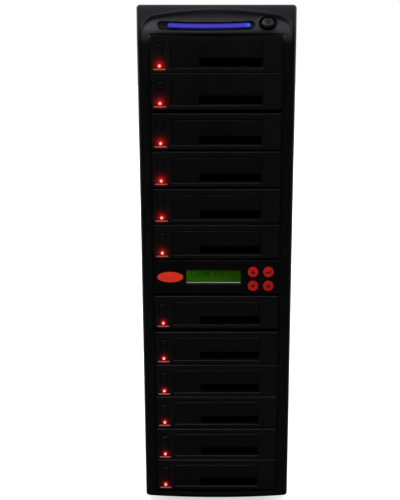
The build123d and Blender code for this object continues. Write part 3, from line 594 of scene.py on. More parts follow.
# signed distance to the arch: a rectangle with rounded upper corners, bent down to its sides
def archDistance(x, s):
    bent = s - bezel["archBend"] * x**2
    across = np.abs(x) - (bezel["archHalf"] - bezel["archCorner"])
    up = bezel["archTop"] + bezel["archCorner"] - bent
    outside = np.hypot(np.maximum(across, 0), np.maximum(up, 0))
    return outside + np.minimum(np.maximum(across, up), 0) - bezel["archCorner"]


# a slope added up from the foot, as a depth at each level s below the top
def addedUp(s, slope):
    levels = np.linspace(0, 60, 601)
    slopes = slope(levels)
    depths = (slopes.sum() - np.cumsum(slopes)) * (levels[1] - levels[0])
    return np.interp(s, levels, depths)


# how far the top band leans back: an even slope down to leanFull, eased off by leanFoot
def bandLean(s):
    full, foot = bezel["leanFull"], bezel["leanFoot"]
    return addedUp(s, lambda t: bezel["leanSlope"] * smooth((foot - t) / (foot - full)))


# how deep the arch's scoop is: its slope grows from scoopTop to scoopFull, is even down to
# scoopBack and ends at scoopFoot
def scoopDepth(s):
    top, full, back, foot = (bezel["scoop" + end] for end in ("Top", "Full", "Back", "Foot"))
    grown = lambda t: smooth((t - top) / (full - top)) * smooth((foot - t) / (foot - back))
    return addedUp(s, lambda t: bezel["scoopSlope"] * grown(t))


# how far x and s lie from the button's middle, as a share of an oval's size
def fromButton(x, s, middle, width, height):
    return np.hypot((x - middle) / (width / 2), (s - button["drop"]) / (height / 2))


# how far the front is pushed in at x and at the level s below the top, in millimetres:
# the arch's scoop under a small bead, then come the groove, the button's well and the
# rolled edges of the opening
def bezelRelief(x, s):
    distance = archDistance(x, s)
    bead, rim = bezel["bead"], button["rim"]
    middling = np.sqrt(np.clip(1 - np.abs(x) / bezel["archHalf"], 0, 1))
    step = bezel["archStep"] + (bezel["archTopStep"] - bezel["archStep"]) * middling
    foot, fade = bezel["sideFade"]
    sunk = bezel["sideSink"] * smooth((foot - s) / fade)
    depth = bead["height"] + np.hypot(scoopDepth(s), sunk) * smooth(-distance / step)
    above = np.clip((bands["top"] - s) / bead["fade"], 0, 1)
    depth -= bead["height"] * above * ridge(distance - bead["out"], bead["width"])
    across = np.maximum(np.abs(x - grooveMiddle) - grooveReach, 0)
    level = s - smileLine(np.clip(x, groove["left"], groove["right"]), groove["drop"])
    edge = groove["height"] / 2 - np.hypot(across, level)
    lower = smooth(level / groove["change"] + 0.5)
    wall = groove["upperWall"] + (groove["lowerWall"] - groove["upperWall"]) * lower
    grooved = smooth(edge / wall)
    depth = depth * (1 - grooved) + groove["floor"] * grooved
    around = fromButton(x, s, button["wellX"], button["wellWidth"], button["wellHeight"])
    inside = (1 - around) * button["wellHeight"] / 2
    welled = smooth(inside / button["wellWall"])
    depth = depth * (1 - welled) + button["wellFloor"] * welled
    depth -= rim["height"] * ridge(inside + rim["out"], rim["width"])
    gap = 2 * button["gap"]
    cap = fromButton(x, s, button["x"], button["width"] + gap, button["height"] + gap)
    depth = np.where(cap < 1, button["shaft"], depth)
    z = topZ - s
    jambRoll = bezel["jambRoll"]
    beside = np.clip(z, openBottom, openTop) == z
    jamb = np.where(beside, np.maximum(np.abs(x) - openHalf, 0), jambRoll)
    roll = jambRoll - np.sqrt(np.maximum(jambRoll**2 - np.maximum(jambRoll - jamb, 0) ** 2, 0))
    within = np.abs(x) <= openHalf
    brow = np.maximum(bezel["browRoll"] - np.maximum(z - openTop, 0), 0)
    lip = np.maximum(bezel["lipBack"] - bezel["lipSlope"] * np.maximum(openBottom - z, 0), 0)
    brow = np.where(within & (z >= openTop), brow, 0)
    lip = np.where(within & (z <= openBottom), lip, 0)
    return depth + roll + brow + lip


# plan outline of the bezel: points and outward normals, from the left side's back edge round
# to the right side's, by arcs for the bow and the shoulders
def planOutline():
    bow, shoulder = bezel["bowRadius"], bezel["shoulderRadius"]
    turnX = halfWidth - shoulder
    turnY = crownY + bow - sqrt((bow - shoulder) ** 2 - turnX**2)
    edgeX = turnX * bow / (bow - shoulder)
    sideY = np.linspace(backY, turnY, 6)[:-1]
    ones = np.ones(len(sideY))
    angles = np.linspace(0, pi / 2 - np.arcsin(edgeX / bow), 12)[:-1]
    outX, outY = np.cos(angles), -np.sin(angles)
    columns = np.arange(0, openHalf - 0.2, bezel["cell"])
    beyond = np.arange(openHalf + bezel["edgeCell"], edgeX - 0.2, bezel["edgeCell"])
    half = np.concatenate([columns, [openHalf], beyond, [edgeX]])
    x = np.concatenate([-half[:0:-1], half])
    rise = np.sqrt(bow**2 - x**2)
    front = np.column_stack([x, crownY + bow - rise, x / bow, -rise / bow])
    side = np.column_stack([halfWidth * ones, sideY, ones, 0 * ones])
    arc = np.column_stack([turnX + shoulder * outX, turnY + shoulder * outY, outX, outY])
    right = np.concatenate([side, arc])
    loop = np.concatenate([right * [-1, 1, -1, 1], front, right[::-1]])
    return loop[:, :2], loop[:, 2:]


# levels of the rows between the rolled ends: fine in the top band and at the opening's ends
def bezelLevels():
    cell, topRow = bezel["cell"], topZ - bezel["sideRoll"]
    lip = np.linspace(bottomZ + bezel["sideRoll"] / 2, openBottom, bezel["lipRows"])
    rails = np.arange(openBottom + 8, openTop - 6, bezel["railCell"])
    band = np.arange(openTop + cell, topRow - 0.1, cell)
    return np.concatenate([lip, [openBottom + 1], rails, [openTop - 1, openTop], band, [topRow]])


# rows of the outline at all levels, with ends rolled over by quarter circles, pushed back by
# the relief and the lean; then the inner sheet, and strips round the rim and the opening
def makeBezel():
    outline, normals = planOutline()
    levels = bezelLevels()
    count = len(outline)
    sideways = normals[:, 0] ** 2
    roll = bezel["frontRoll"] + (bezel["sideRoll"] - bezel["frontRoll"]) * sideways
    rows = []

    def addRow(z, inset, towardsBack=0.0):
        x, y = (outline - normals * np.reshape(inset, (-1, 1))).T
        y = np.minimum(y, backY)
        y = y + (backY - y) * towardsBack
        rows.append(np.column_stack([x, y, np.broadcast_to(z, x.shape)]))

    half = roll / 2  # the lower end is rolled half as much as the upper one
    for back in (1.0, 0.5):
        addRow(bottomZ, half, back)
    for turn in np.linspace(0, pi / 2, 7)[:0:-1]:
        addRow(bottomZ + half * (1 - np.cos(turn)), half * (1 - np.sin(turn)))
    first = len(rows)
    for level in levels:
        addRow(level, 0.0)
    for turn in np.linspace(0, pi / 2, 9):
        addRow(topZ - roll * (1 - np.sin(turn)), roll * (1 - np.cos(turn)))
    for back in (0.5, 1.0):
        addRow(topZ, roll, back)
    outer = np.array(rows)
    x, y, z = outer[..., 0], outer[..., 1], outer[..., 2]
    shoulder = bezel["shoulderRadius"]
    front = np.clip((halfWidth - shoulder / 3 - np.abs(outline[:, 0])) / 2, 0, 1)
    pushed = bezelRelief(x, topZ - z) * front
    pushed[:first] = bezel["bead"]["height"] * front
    cornerY = crownY + bezel["bowRadius"] - sqrt(bezel["bowRadius"] ** 2 - halfWidth**2)
    leaned = bandLean(topZ - z) * np.clip((backY - y) / (backY - cornerY - shoulder), 0, 1)
    outer[..., 1] = np.minimum(y + pushed + leaned, backY)

    # inner sheet: the same grid without relief, one wall further in, drawn clear of the opening
    wall = bezel["wall"]
    inner = np.array(rows)
    acrossFrom = [0, openHalf, halfWidth]
    acrossTo = [0, openHalf + wall, halfWidth - wall]
    inner[..., 0] = np.sign(x) * np.interp(np.abs(x), acrossFrom, acrossTo)
    levelFrom = [bottomZ, openBottom, openTop, topZ]
    levelTo = [bottomZ + wall, openBottom - wall, openTop + wall, topZ - wall]
    inner[..., 2] = np.interp(z, levelFrom, levelTo)
    further = np.where(z >= openTop - tiny, button["shaft"] + button["shaftWall"], wall)
    inner[..., 1] = np.minimum(inner[..., 1] + leaned + further, backY)
    inner[[0, -1], :, 1] = backY
    inner[:, [0, -1], 1] = backY

    # faces of both sheets, less the opening, then the walls that close the shell
    columnsIn = np.flatnonzero(np.abs(np.abs(outline[:, 0]) - openHalf) < tiny)
    left, right = columnsIn[0], columnsIn[-1]
    low, high = (int(np.argmin(np.abs(levels - end))) + first for end in (openBottom, openTop))
    keep = np.ones((len(rows) - 1, count - 1), bool)
    keep[low:high, left:right] = False
    sheet = gridFaces(len(rows), count, keep=keep)
    total = len(rows) * count
    number = np.arange(total).reshape(len(rows), count)
    rim = np.concatenate([number[0], number[1:, -1], number[-1, -2::-1], number[-2:0:-1, 0]])
    upwards, downwards = number[low:high, right], number[high:low:-1, left]
    lintel = number[high, right:left:-1]
    hole = np.concatenate([number[low, left:right], upwards, lintel, downwards])
    points = np.concatenate([outer.reshape(-1, 3), inner.reshape(-1, 3)])
    # beside the racks the opening's wall steps in a little behind their faces
    stepOuter = points[hole].copy()
    stepOuter[:, 1] = np.maximum(faceY + bezel["rebate"], stepOuter[:, 1] + 0.1)
    inside = openHalf - bezel["rebateIn"]
    stepInner = stepOuter.copy()
    stepInner[:, 0] = np.clip(stepInner[:, 0], -inside, inside)
    backOuter = stepInner.copy()
    backInner = points[hole + total].copy()
    backOuter[:, 1] = backInner[:, 1] = backY
    added = [2 * total + place * len(hole) + np.arange(len(hole)) for place in range(4)]
    loops = [hole, *added, hole + total]
    strips = [stripFaces(loops[place], loops[place + 1]) for place in range(5)]
    points = np.concatenate([points, stepOuter, stepInner, backOuter, backInner])
    faces = [sheet, sheet[:, ::-1] + total, stripFaces(rim + total, rim), *strips]
    return points, np.concatenate(faces)


bezelPlastic = plastic("bezel", paintedBandLight=True)
bezelPiece = add(
    "bezel", makeBezel(), bezelPlastic, "tower", "bezel_plastic", ("front_bezel",), crease=50
)
print("bezel:", len(bezelPiece.data.polygons), "faces")

# Camera: the photograph's, level with the bezel's top and pitched down
camera = {
    "lens": 67.35,
    "sensor": 36.0,
    "distance": 1062.6,
    "height": 617.8,
    "pitch": 14.78,
    "shift": -16.6 / 500,
    "clip": (0.05, 20.0),
}


def makeCamera():
    data = bpy.data.cameras.new("camera")
    data.lens = camera["lens"]
    data.sensor_width = camera["sensor"]
    data.shift_x = camera["shift"]
    data.clip_start, data.clip_end = camera["clip"]
    made = linked("camera", data)
    made.location = (0, (crownY - camera["distance"]) * mm, camera["height"] * mm)
    made.rotation_euler = (radians(90 - camera["pitch"]), 0, 0)
    bpy.context.scene.camera = made


makeCamera()


def circle(count):
    return np.linspace(0, 2 * pi, count, endpoint=False)


# a surface through closed rings of points
def ringed(rings):
    rings = np.asarray(rings)
    faces = gridFaces(rings.shape[0], rings.shape[1], closedColumns=True)
    return rings.reshape(-1, 3), faces


# the same, closed at both ends by rings that are shrunk to their middles
def capped(rings):
    first, last = (np.mean(ring, axis=0) + 0 * ring for ring in (rings[0], rings[-1]))
    return ringed([first, *rings, last])


# a round piece: a profile of (radius, height) pairs carried round an axis that points to the
# front (height runs to -y), to the back (+y) or up (+z); knurl pulls in every other point of
# the widest rings
def turned(profile, centre, sides, axis="front", knurl=0.0):
    radius, height = np.asarray(profile, float).T
    angle = circle(sides)
    reach = radius[:, None] * np.ones(sides)
    rim = radius > 0.97 * radius.max()
    reach -= rim[:, None] * knurl * (np.arange(sides) % 2)
    first, second = reach * np.cos(angle), reach * np.sin(angle)
    along = height[:, None] + 0 * angle
    shaped = {
        "front": (first, -along, second),
        "back": (first, along, second),
        "up": (first, second, along),
    }[axis]
    return ringed(np.stack(shaped, axis=-1) + centre)


# several shapes as one
def joined(shapes):
    points, faces = [], []
    for some, rings in shapes:
        faces += [[number + len(points) for number in ring] for ring in rings]
        points += list(some)
    return points, faces


# the same shape again at each offset
def repeated(shape, offsets):
    return joined([(shape[0] + offset, shape[1]) for offset in np.array(offsets, float)])


# flat outlines in x and z, each given a thickness: its front at y, its back at y + thick
def plates(outlines, y, thick):
    shapes = []
    for outline in outlines:
        points = [(x, depth, z) for depth in (y, y + thick) for x, z in outline]
        front = np.arange(len(outline))
        back = front + len(outline)
        shapes.append((points, [front, back[::-1], *stripFaces(front, back)]))
    return joined(shapes)


# Status lamps: clear red domes, hot in the middle
lamp = {
    "radius": 1.7,
    "dome": 0.9,
    "depth": 9.5,
    "base": (0.35, 0.01, 0.008),
    "core": (1.0, 0.72, 0.5),
    "rim": (1.0, 0.05, 0.012),
    "rimPower": 2.2,
    "strength": 1.25,
    "roughness": 0.15,
    "gloss": 0.1,
    "grain": 0.5,
    "specular": 0.5,
}


# an elliptic dome on a straight rod
def makeLamps():
    radius, depth = lamp["radius"], lamp["depth"]
    turn = np.linspace(pi / 2, 0, 7)
    dome = np.column_stack([radius * np.cos(turn), lamp["dome"] * np.sin(turn)])
    profile = [*dome, (radius, -depth), (0, -depth)]
    one = turned(profile, (glow["x"], faceY, glow["height"]), 20)
    return repeated(one, [(0, 0, base) for base in rackBases])


@material
def lampLens(wire):
    x, y, z, spot = places(wire)
    across, above = x - glow["x"], rackRise(z) - glow["height"]
    away = ((across * across + above * above).root() / lamp["radius"]).clip()
    light = blendColour(away ** lamp["rimPower"], lamp["core"], lamp["rim"])
    return shining(lamp, mottle(wire, spot, lamp["grain"]), light)


add("statusLamps", makeLamps(), lampLens(), "tower", "red_lamp", ("status_lights",))

# Clear bar under each lamp, which carries its light to both sides
guide = {
    "half": 7.1,
    "base": (0.08, 0.05, 0.05),
    "middle": (0.42, 0.025, 0.03),
    "end": (0.1, 0.025, 0.032),
    "streaks": {"size": 1.3, "least": 0.7, "more": 0.6},
    "strength": 0.9,
    "roughness": 0.3,
    "gloss": 0.1,
    "grain": 0.6,
    "specular": 0.1,
}


@material
def guideClear(wire):
    x, y, z, spot = places(wire)
    away = (x - glow["x"]) / guide["half"]
    near = (1 - away * away).clip() * streaked(wire, spot, guide["streaks"])
    light = blendColour(near.clip(), guide["end"], guide["middle"])
    return shining(guide, mottle(wire, spot, guide["grain"]), light)


# Light bar: a rounded tube along the smile, darker at its edge and paler at the right tip
bar = {
    "left": -54.3,
    "right": 37.6,
    "height": 5.4,
    "drop": 23.1,
    "front": 3.4,
    "back": 6.6,
    "squareness": 0.75,
    "base": (0.01, 0.008, 0.08),
    "deep": (0.036, 0.031, 0.4),
    "bright": (0.065, 0.057, 0.56),
    "cloud": 14.0,
    "tip": (0.07, 0.17, 0.85),
    "tipAlong": (0.93, 1.0014),
    "shade": (0.001, 0.001, 0.13),
    "shadePower": 1.25,
    "strength": 1.0,
    "roughness": 0.3,
    "gloss": 0.1,
    "grain": 1.0,
    "specular": 0.08,
}


# x runs along the bar; the section is a rounded rectangle whose height follows a half circle
# at both ends; its middle follows the smile
def makeBar():
    half = bar["height"] / 2
    left, right = bar["left"] + half, bar["right"] - half
    turn = np.linspace(0, pi / 2, 9)
    straight = np.linspace(left, right, 60)[1:-1]
    x = np.concatenate([left - half * np.cos(turn), straight, right + half * np.sin(turn)])
    beyond = np.maximum(np.maximum(left - x, x - right), 0)
    tall = np.sqrt(np.maximum(half**2 - beyond**2, 0.03**2))[:, None]
    angle = circle(28)
    power = bar["squareness"]
    across, upward = (np.sign(w) * np.abs(w) ** power for w in (np.cos(angle), np.sin(angle)))
    middleY = crownY + (bar["front"] + bar["back"]) / 2
    deep = (bar["back"] - bar["front"]) / 2
    z = topZ - smileLine(x, bar["drop"])[:, None] + tall * upward
    y = middleY - deep * np.sqrt(tall / half) * across
    return capped(np.stack([x[:, None] + 0 * z, y, z], axis=-1))


@material
def barLight(wire):
    x, y, z, spot = places(wire)
    edge = ((z - topZ + smileLine(x, bar["drop"])).size() * (2 / bar["height"])).clip()
    cloud = 0.5 + 0.5 * mottle(wire, spot, bar["cloud"])
    body = blendColour(cloud.clip(), bar["deep"], bar["bright"])
    tip = x.ramp(bar["left"], bar["right"]).ramp(*bar["tipAlong"])
    tipped = blendColour(tip, body, bar["tip"])
    light = blendColour(edge ** bar["shadePower"], tipped, bar["shade"])
    return shining(bar, mottle(wire, spot, bar["grain"]), light)


add("lightBar", makeBar(), barLight(), "tower", "light_bar", ("light_bar",), crease=60)

# Power button: a cap with a slanted, slightly domed face and a rounded edge
capEdge = {
    "radius": 1.1,
    "dome": 0.4,
    "skirt": -194.3,
    "faceUp": 2.3,
    "faceHalf": (6.7, 4.3),
    "under": 0.5,
    "signRing": (2.1, 3.1),
    "signTurn": (125, 415),
    "signStem": (-1.8, 3.6),
    "signWidth": 1.7,
    "signLift": (-0.06, 0.25),
    "domeReach": 5.5,
}
capFront = crownY + button["front"] + capEdge["dome"]


# how far the cap's face lies behind its foot, at x and z from its middle: a slanted plane
# that curves back beyond the face's oval
def capFall(x, z):
    wide, tall = capEdge["faceHalf"]
    beyond = tall * np.maximum(np.hypot(x / wide, (z - capEdge["faceUp"]) / tall) - 1, 0)
    return np.maximum(z + tall, 0) * tan(radians(button["tilt"])) + beyond**2 * capEdge["under"]


# rings round a slot-shaped outline: skirt, rounded edge, then the face shrinking to its middle,
# over which a dome rises
def makeCap():
    angle = circle(56)
    run = (button["width"] - button["height"]) / 2
    outX = np.where(np.cos(angle) >= 0, run, -run)
    rings = []

    def ring(inset, drop, share=1.0, flat=None):
        reach = button["height"] / 2 - inset
        x = (outX + reach * np.cos(angle)) * share
        z = reach * np.sin(angle) * share
        y = capFront + capFall(x, z) + drop if flat is None else flat + 0 * x
        rings.append(np.column_stack([button["x"] + x, y, topZ - button["drop"] + z]))

    for share, back in ((0.0, 0), (0.98, 0), (1.0, 0.3)):
        ring(0, 0, share, capEdge["skirt"] - back)
    for inset, drop in rounding(capEdge["radius"], 7):
        ring(inset, drop)
    for share in (0.9, 0.75, 0.6, 0.45, 0.3, 0.15, 0.0):
        ring(capEdge["radius"], -capEdge["dome"] * (1 - share**2), share)
    return ringed(rings)


# the power sign, an open ring and a stem, as thin ink laid on the cap's face: strips of quads
# across each stroke, each with a back and a front
def makePowerSign():
    turn = np.radians(np.linspace(*capEdge["signTurn"], 30))
    half = capEdge["signWidth"] / 2
    stem = np.linspace(*capEdge["signStem"], 8)
    strokes = [
        (np.outer(capEdge["signRing"], np.cos(turn)), np.outer(capEdge["signRing"], np.sin(turn))),
        (np.outer([half, -half], np.ones(8)), np.outer([1, 1], stem)),
    ]
    front, back = capEdge["signLift"]
    shapes = []
    for x, up in strokes:
        z = up + capEdge["faceUp"]
        dome = 1 - np.minimum(np.hypot(x, z) / capEdge["domeReach"], 1) ** 2
        y = capFront + capFall(x, z) - capEdge["dome"] * dome
        loop = [(0, front), (1, front), (1, back), (0, back)]  # round each stroke's section
        rows = [np.column_stack([x[k], y[k] + lift, z[k]]) for k, lift in loop]
        points = np.concatenate(rows) + [button["x"], 0, topZ - button["drop"]]
        count = x.shape[1]
        ends = [[k * count + end for k in range(4)] for end in (0, count - 1)]
        shapes.append((points, [*gridFaces(4, count, closedRows=True), *ends]))
    return joined(shapes)


capSkin = ("power_button", "button_plastic")
add("powerCap", makeCap(), plastic("cap"), *capSkin, ("power_button",), crease=50)
add("powerSign", makePowerSign(), plastic("cage"), *capSkin)

# Glossy red paint over a fine flake, with painted shade: a little darker towards the foot
redPaint = {
    "shades": (0.72, 1.16),
    "mix": (0.25, 0.45, 0.3),
    "gloss": (0.12,),
    "bump": 0.12,
    "depth": 0.00004,
    "grain": 0.5,
    "specular": 0.08,
}


def painted(name, paint, roughness, low, high):
    look = {**redPaint, "base": paint, "roughness": roughness}

    def sockets(wire):
        x, y, z, spot = places(wire)
        flake = mottle(wire, spot, look["grain"], detail=3.0)
        least, rise, flaked = look["mix"]
        # painted shade: the colour darkens from the level high down to low
        mask = (least + rise * z.ramp(low, high) + flaked * flake).clip()
        return surface(wire, look, mask, flake)

    return finish(name, sockets)


# Badge: a bare domed oval with a fine raised rim
badge = {
    "x": -55.15,
    "z": panelBase + 21.95,
    "across": 15.5,
    "up": 6.4,
    "height": 1.0,
    "edge": [(1.0, 0.45), (0.995, 0.2), (0.985, 0.06)],
    "rim": [(0.97, 0.0), (0.95, 0.02), (0.93, 0.14), (0.915, 0.26)],
    "face": 0.9,
    "sunk": 0.28,
    "dome": 0.22,
    "paint": (0.56, 0.027, 0.009),
    "roughness": 0.34,
}


# rings round an ellipse: each is a share of the outline and a height above the plate. The
# edge and the rim, as pairs of (share, drop), are as wide all round; a dome fills the face.
def makeBadge():
    angle = circle(72)
    top = badge["height"]
    rim = [(share, top - drop) for share, drop in badge["edge"] + badge["rim"]]
    inner = np.linspace(badge["face"], 0, 7)
    dome = badge["dome"] * (1 - (inner / badge["face"]) ** 2)
    face = np.column_stack([inner, top - badge["sunk"] + dome])
    share, height = np.array([(0, 0), (0.99, 0), (1, 0), *rim, *face]).T
    even = badge["across"] - badge["up"] * (1 - share)
    across = np.where(share >= badge["face"], even, badge["across"] * share)
    x = badge["x"] + np.outer(across, np.cos(angle))
    z = badge["z"] + np.outer(badge["up"] * share, np.sin(angle))
    return ringed(np.stack([x, faceY - height[:, None] + 0 * x, z], axis=-1))


# levels between which the badge's painted shade lightens upwards
badgeLevels = (badge["z"] - badge["up"], badge["z"] + badge["up"])
badgePaint = painted("badgePaint", badge["paint"], badge["roughness"], *badgeLevels)
add("ovalBadge", makeBadge(), badgePaint, "tower", "badge_red", ("oval_badge",), crease=40)

# Four round keys, domed, each with a flat sign let into its face
roundKey = {
    "radius": 6.3,
    "front": 1.6,
    "edge": 0.9,
    "dome": 0.25,
    "depth": 3.8,
    "flange": 7.2,
    "flangeThick": 1.2,
    "paint": (0.33, 0.0055, 0.0045),
    "roughness": 0.42,
    "paintFrom": panelBase + 3,
    "paintTo": panelBase + 36,
    "sign": (0.02, 0.001, 0.001),
    "signRoughness": 0.5,
    "signOut": 0.03,
    "signThick": 0.4,
}
keyPlaces = {
    "up_key": (43.25, panelBase + 28.2),
    "enter_key": (61.55, panelBase + 28.2),
    "down_key": (43.25, panelBase + 11.0),
    "escape_key": (61.55, panelBase + 11.0),
}


# a straight bar of the given width from start to end
def stroke(start, end, width):
    start, end = np.array(start, float), np.array(end, float)
    along = (end - start) / np.linalg.norm(end - start)
    side = np.array([-along[1], along[0]]) * width / 2
    return [start - side, end - side, end + side, start + side]


# each sign as closed outlines about the key's middle
signs = {
    "up_key": [[(-2.4, -1.6), (2.4, -1.6), (0, 2.4)]],
    "down_key": [[(-2.4, 1.6), (0, -2.4), (2.4, 1.6)]],
    "enter_key": [
        [(-3.8, -0.5), (-1.7, -2.3), (-1.7, 1.3)],
        stroke((-1.8, -0.5), (3.3, -0.5), 1.1),
        stroke((2.8, -0.2), (2.8, 2.2), 1.1),
    ],
    "escape_key": [stroke((-2.1, -2.1), (2.1, 2.1), 1.2), stroke((-2.1, 2.1), (2.1, -2.1), 1.2)],
}


# a flange and a shaft with a rounded edge, over which a dome rises with the radius squared
def makeKey(x, z):
    radius, edge, dome = roundKey["radius"], roundKey["edge"], roundKey["dome"]
    front, rear, flange = roundKey["front"], -roundKey["depth"], roundKey["flange"]
    step = rear + roundKey["flangeThick"]
    profile = [(0, rear), (flange, rear), (flange, step), (radius, step)]
    profile += [(radius - inset, front - dome - drop) for inset, drop in rounding(edge)]
    profile += [((radius - edge) * s, front - dome * s**2) for s in np.linspace(1, 0, 7)[1:]]
    return turned(profile, (x, faceY, z), 48)


# levels between which the painted shade of the keys and their signs lightens upwards
keyLevels = (roundKey["paintFrom"], roundKey["paintTo"])
keyPaint = painted("keyPaint", roundKey["paint"], roundKey["roughness"], *keyLevels)
signInk = painted("signInk", roundKey["sign"], roundKey["signRoughness"], *keyLevels)
signY = faceY - roundKey["front"] - roundKey["signOut"]
for name, (x, z) in keyPlaces.items():
    title = name.replace("_key", "")
    add(title + "Key", makeKey(x, z), keyPaint, bodyOf[name], "red_keys", (name,))
    outlines = [[(x + across, z + up) for across, up in outline] for outline in signs[name]]
    shape = plates(outlines, signY, roundKey["signThick"])
    add(title + "Sign", shape, signInk, bodyOf[name], "red_keys")

# Display: a green face with a row of dotted digits, over a pale lit sill
display = {
    "across": (-36.15, 28.75),
    "levels": (panelBase + 15.0, panelBase + 29.9),
    "depths": (-197.4, -196.35),
    "dark": (0.003, 0.016, 0.0003),
    "bright": (0.0115, 0.059, 0.0006),
    "mix": (0.95, -0.25, -0.55, 0.4),
    "cloud": 22.0,
    "strength": 0.5,
    "roughness": 0.22,
    "gloss": 0.1,
    "specular": 0.03,
}
sill = {
    "levels": (panelBase + 13.8, panelBase + 14.95),
    "depths": (-197.95, -197.4),
    "corner": 0.4,
    "edge": 0.2,
    "dark": (0.08, 0.1, 0.06),
    "bright": (0.23, 0.235, 0.2),
    "mix": (0.75, 0.25, 0.2),
    "cloud": 7.0,
    "strength": 0.3,
    "roughness": 0.4,
    "gloss": 0.1,
    "grain": 2.0,
    "specular": 0.15,
}
digits = {
    "row": "1.2345 678",
    "left": -31.65,
    "top": panelBase + 27.9,
    "step": 4.15,
    "dot": (0.64, 0.78),
    "filled": 0.97,
    "front": display["depths"][0] - 0.04,
    "thick": 0.1,
    "base": (0.0004, 0.0014, 0.0004),
    "shades": (1.0, 2.2),
    "roughness": 0.4,
    "gloss": (0.2,),
    "grain": 3.0,
    "specular": 0.03,
}
dotted = {
    "1": "00100 01100 00100 00100 00100 00100 01110",
    "2": "01110 10001 00001 00010 00100 01000 11111",
    "3": "11111 00010 00100 00010 00001 10001 01110",
    "4": "00010 00110 01010 10010 11111 00010 00010",
    "5": "11111 10000 11110 00001 00001 10001 01110",
    "6": "00110 01000 10000 11110 10001 10001 01110",
    "7": "11111 00001 00010 00100 01000 01000 01000",
    "8": "01110 10001 10001 01110 10001 10001 01110",
    ".": "00000 00000 00000 00000 00000 01100 01100",
}


# a slab with rounded front edges: rings of a rounded rectangle, from back to front
def slab(across, levels, depths, corner=0.6, edge=0.3):
    front, back = depths
    low, high = np.transpose([across, levels])
    quarter = np.linspace(0, pi / 2, 5)
    turn = np.concatenate([quarter + k * pi / 2 for k in range(4)])
    sides = np.repeat([(1, 1), (-1, 1), (-1, -1), (1, -1)], len(quarter), axis=0)
    inner = (low + high) / 2 + sides * ((high - low) / 2 - corner)
    rings = []
    for inset, y in [(0, back)] + [(inset, front + drop) for inset, drop in rounding(edge, 4)]:
        x, z = (inner + (corner - inset) * np.column_stack([np.cos(turn), np.sin(turn)])).T
        rings.append(np.column_stack([x, y + 0 * x, z]))
    return capped(rings)


# a small square for each dot of the signs, which are 5 dots wide and 7 tall
def makeDigits():
    outlines = []
    wide, tall = digits["dot"]
    for place, sign in enumerate(digits["row"]):
        for down, row in enumerate(dotted.get(sign, "").split()):
            for over, dot in enumerate(row):
                if dot == "1":
                    left = digits["left"] + place * digits["step"] + over * wide
                    top = digits["top"] - down * tall
                    right, low = left + digits["filled"] * wide, top - digits["filled"] * tall
                    outlines.append([(left, low), (right, low), (right, top), (left, top)])
    return plates(outlines, digits["front"], digits["thick"])


@material
def displayGreen(wire):
    x, y, z, spot = places(wire)
    cloud = mottle(wire, spot, display["cloud"])
    parts = (1, z.ramp(*display["levels"]), x.ramp(*display["across"]), cloud - 0.5)
    shade = sum(amount * part for amount, part in zip(display["mix"], parts)).clip()
    colour = blendColour(shade, display["dark"], display["bright"])
    return shining(display, cloud, colour, base=colour)


@material
def displaySill(wire):
    x, y, z, spot = places(wire)
    parts = (1, x.ramp(*display["across"]), mottle(wire, spot, sill["cloud"]) - 0.5)
    shade = sum(amount * part for amount, part in zip(sill["mix"], parts)).clip()
    colour = blendColour(shade, sill["dark"], sill["bright"])
    return shining(sill, mottle(wire, spot, sill["grain"]), colour, base=colour)


@material
def displayInk(wire):
    shade = mottle(wire, places(wire)[-1], digits["grain"])
    return surface(wire, digits, shade, shade)


screen = slab(display["across"], display["levels"], display["depths"])
add("displayFace", screen, displayGreen(), "tower", "display_glass", ("display_glass",))
add("displayDigits", makeDigits(), displayInk(), "tower", "display_glass")
ledge = slab(display["across"], sill["levels"], sill["depths"], sill["corner"], sill["edge"])
add("displaySill", ledge, displaySill(), "tower", "display_frame")
print("front pieces ready")

# Rubber feet, turned, with a waist and a rounded sole: pairs of (inset, height)
foot = {
    "radius": 11.0,
    "height": 15.0,
    "across": 65.35,
    "y": (-155.0, 163.0),
    "sole": [(3.6, 0), (3.2, 0.5), (3.0, 0.9), (2.2, 0.9), (1.6, 0), (1.0, 0), (0.4, 0.25)],
    "side": [(0, 0.9), (0, 2.4), (0.8, 4.5), (1.4, 8), (1.2, 11), (0.5, 12.6), (0.2, 13.4)],
}


# the sole and the side turned round the upright through each foot
def makeFeet():
    around = [(foot["radius"] - inset, up) for inset, up in foot["sole"] + foot["side"]]
    profile = [(0, 0), *around, (around[-1][0], foot["height"]), (0, foot["height"])]
    spots = [(x, y, 0) for x in (-foot["across"], foot["across"]) for y in foot["y"]]
    return repeated(turned(profile, (0, 0, 0), 48, axis="up"), spots)


# Thumbscrews on the rear panel: a shank, a knurled grip, and a boss up to the rear
knob = {
    "radius": 5.5,
    "y": (198.0, 205.0),
    "across": 81.85,
    "levels": (61.0, 569.3),
    "shank": (2.0, 4.0),
    "grip": [(0.9, 0), (0.3, 0.35), (0, 0.8), (0, 3.4), (0.3, 3.9), (1.4, 4.2), (1.7, 4.6)],
    "boss": [(1.7, 0.7), (2.0, 0.2), (2.5, 0)],
    "knurl": 0.35,
}


# pairs of (inset, height) turned round the screw; the boss is measured down from the rear
def makeKnobs():
    (shank, deep), (front, rear), radius = knob["shank"], knob["y"], knob["radius"]
    profile = [(0, -deep), (shank, -deep), (shank, 0)]
    profile += [(radius - inset, up) for inset, up in knob["grip"]]
    profile += [(radius - inset, rear - front - down) for inset, down in knob["boss"]]
    profile += [(0, rear - front)]
    one = turned(profile, (0, front, 0), 64, axis="back", knurl=knob["knurl"])
    spots = [(x, 0, z) for x in (-knob["across"], knob["across"]) for z in knob["levels"]]
    return repeated(one, spots)


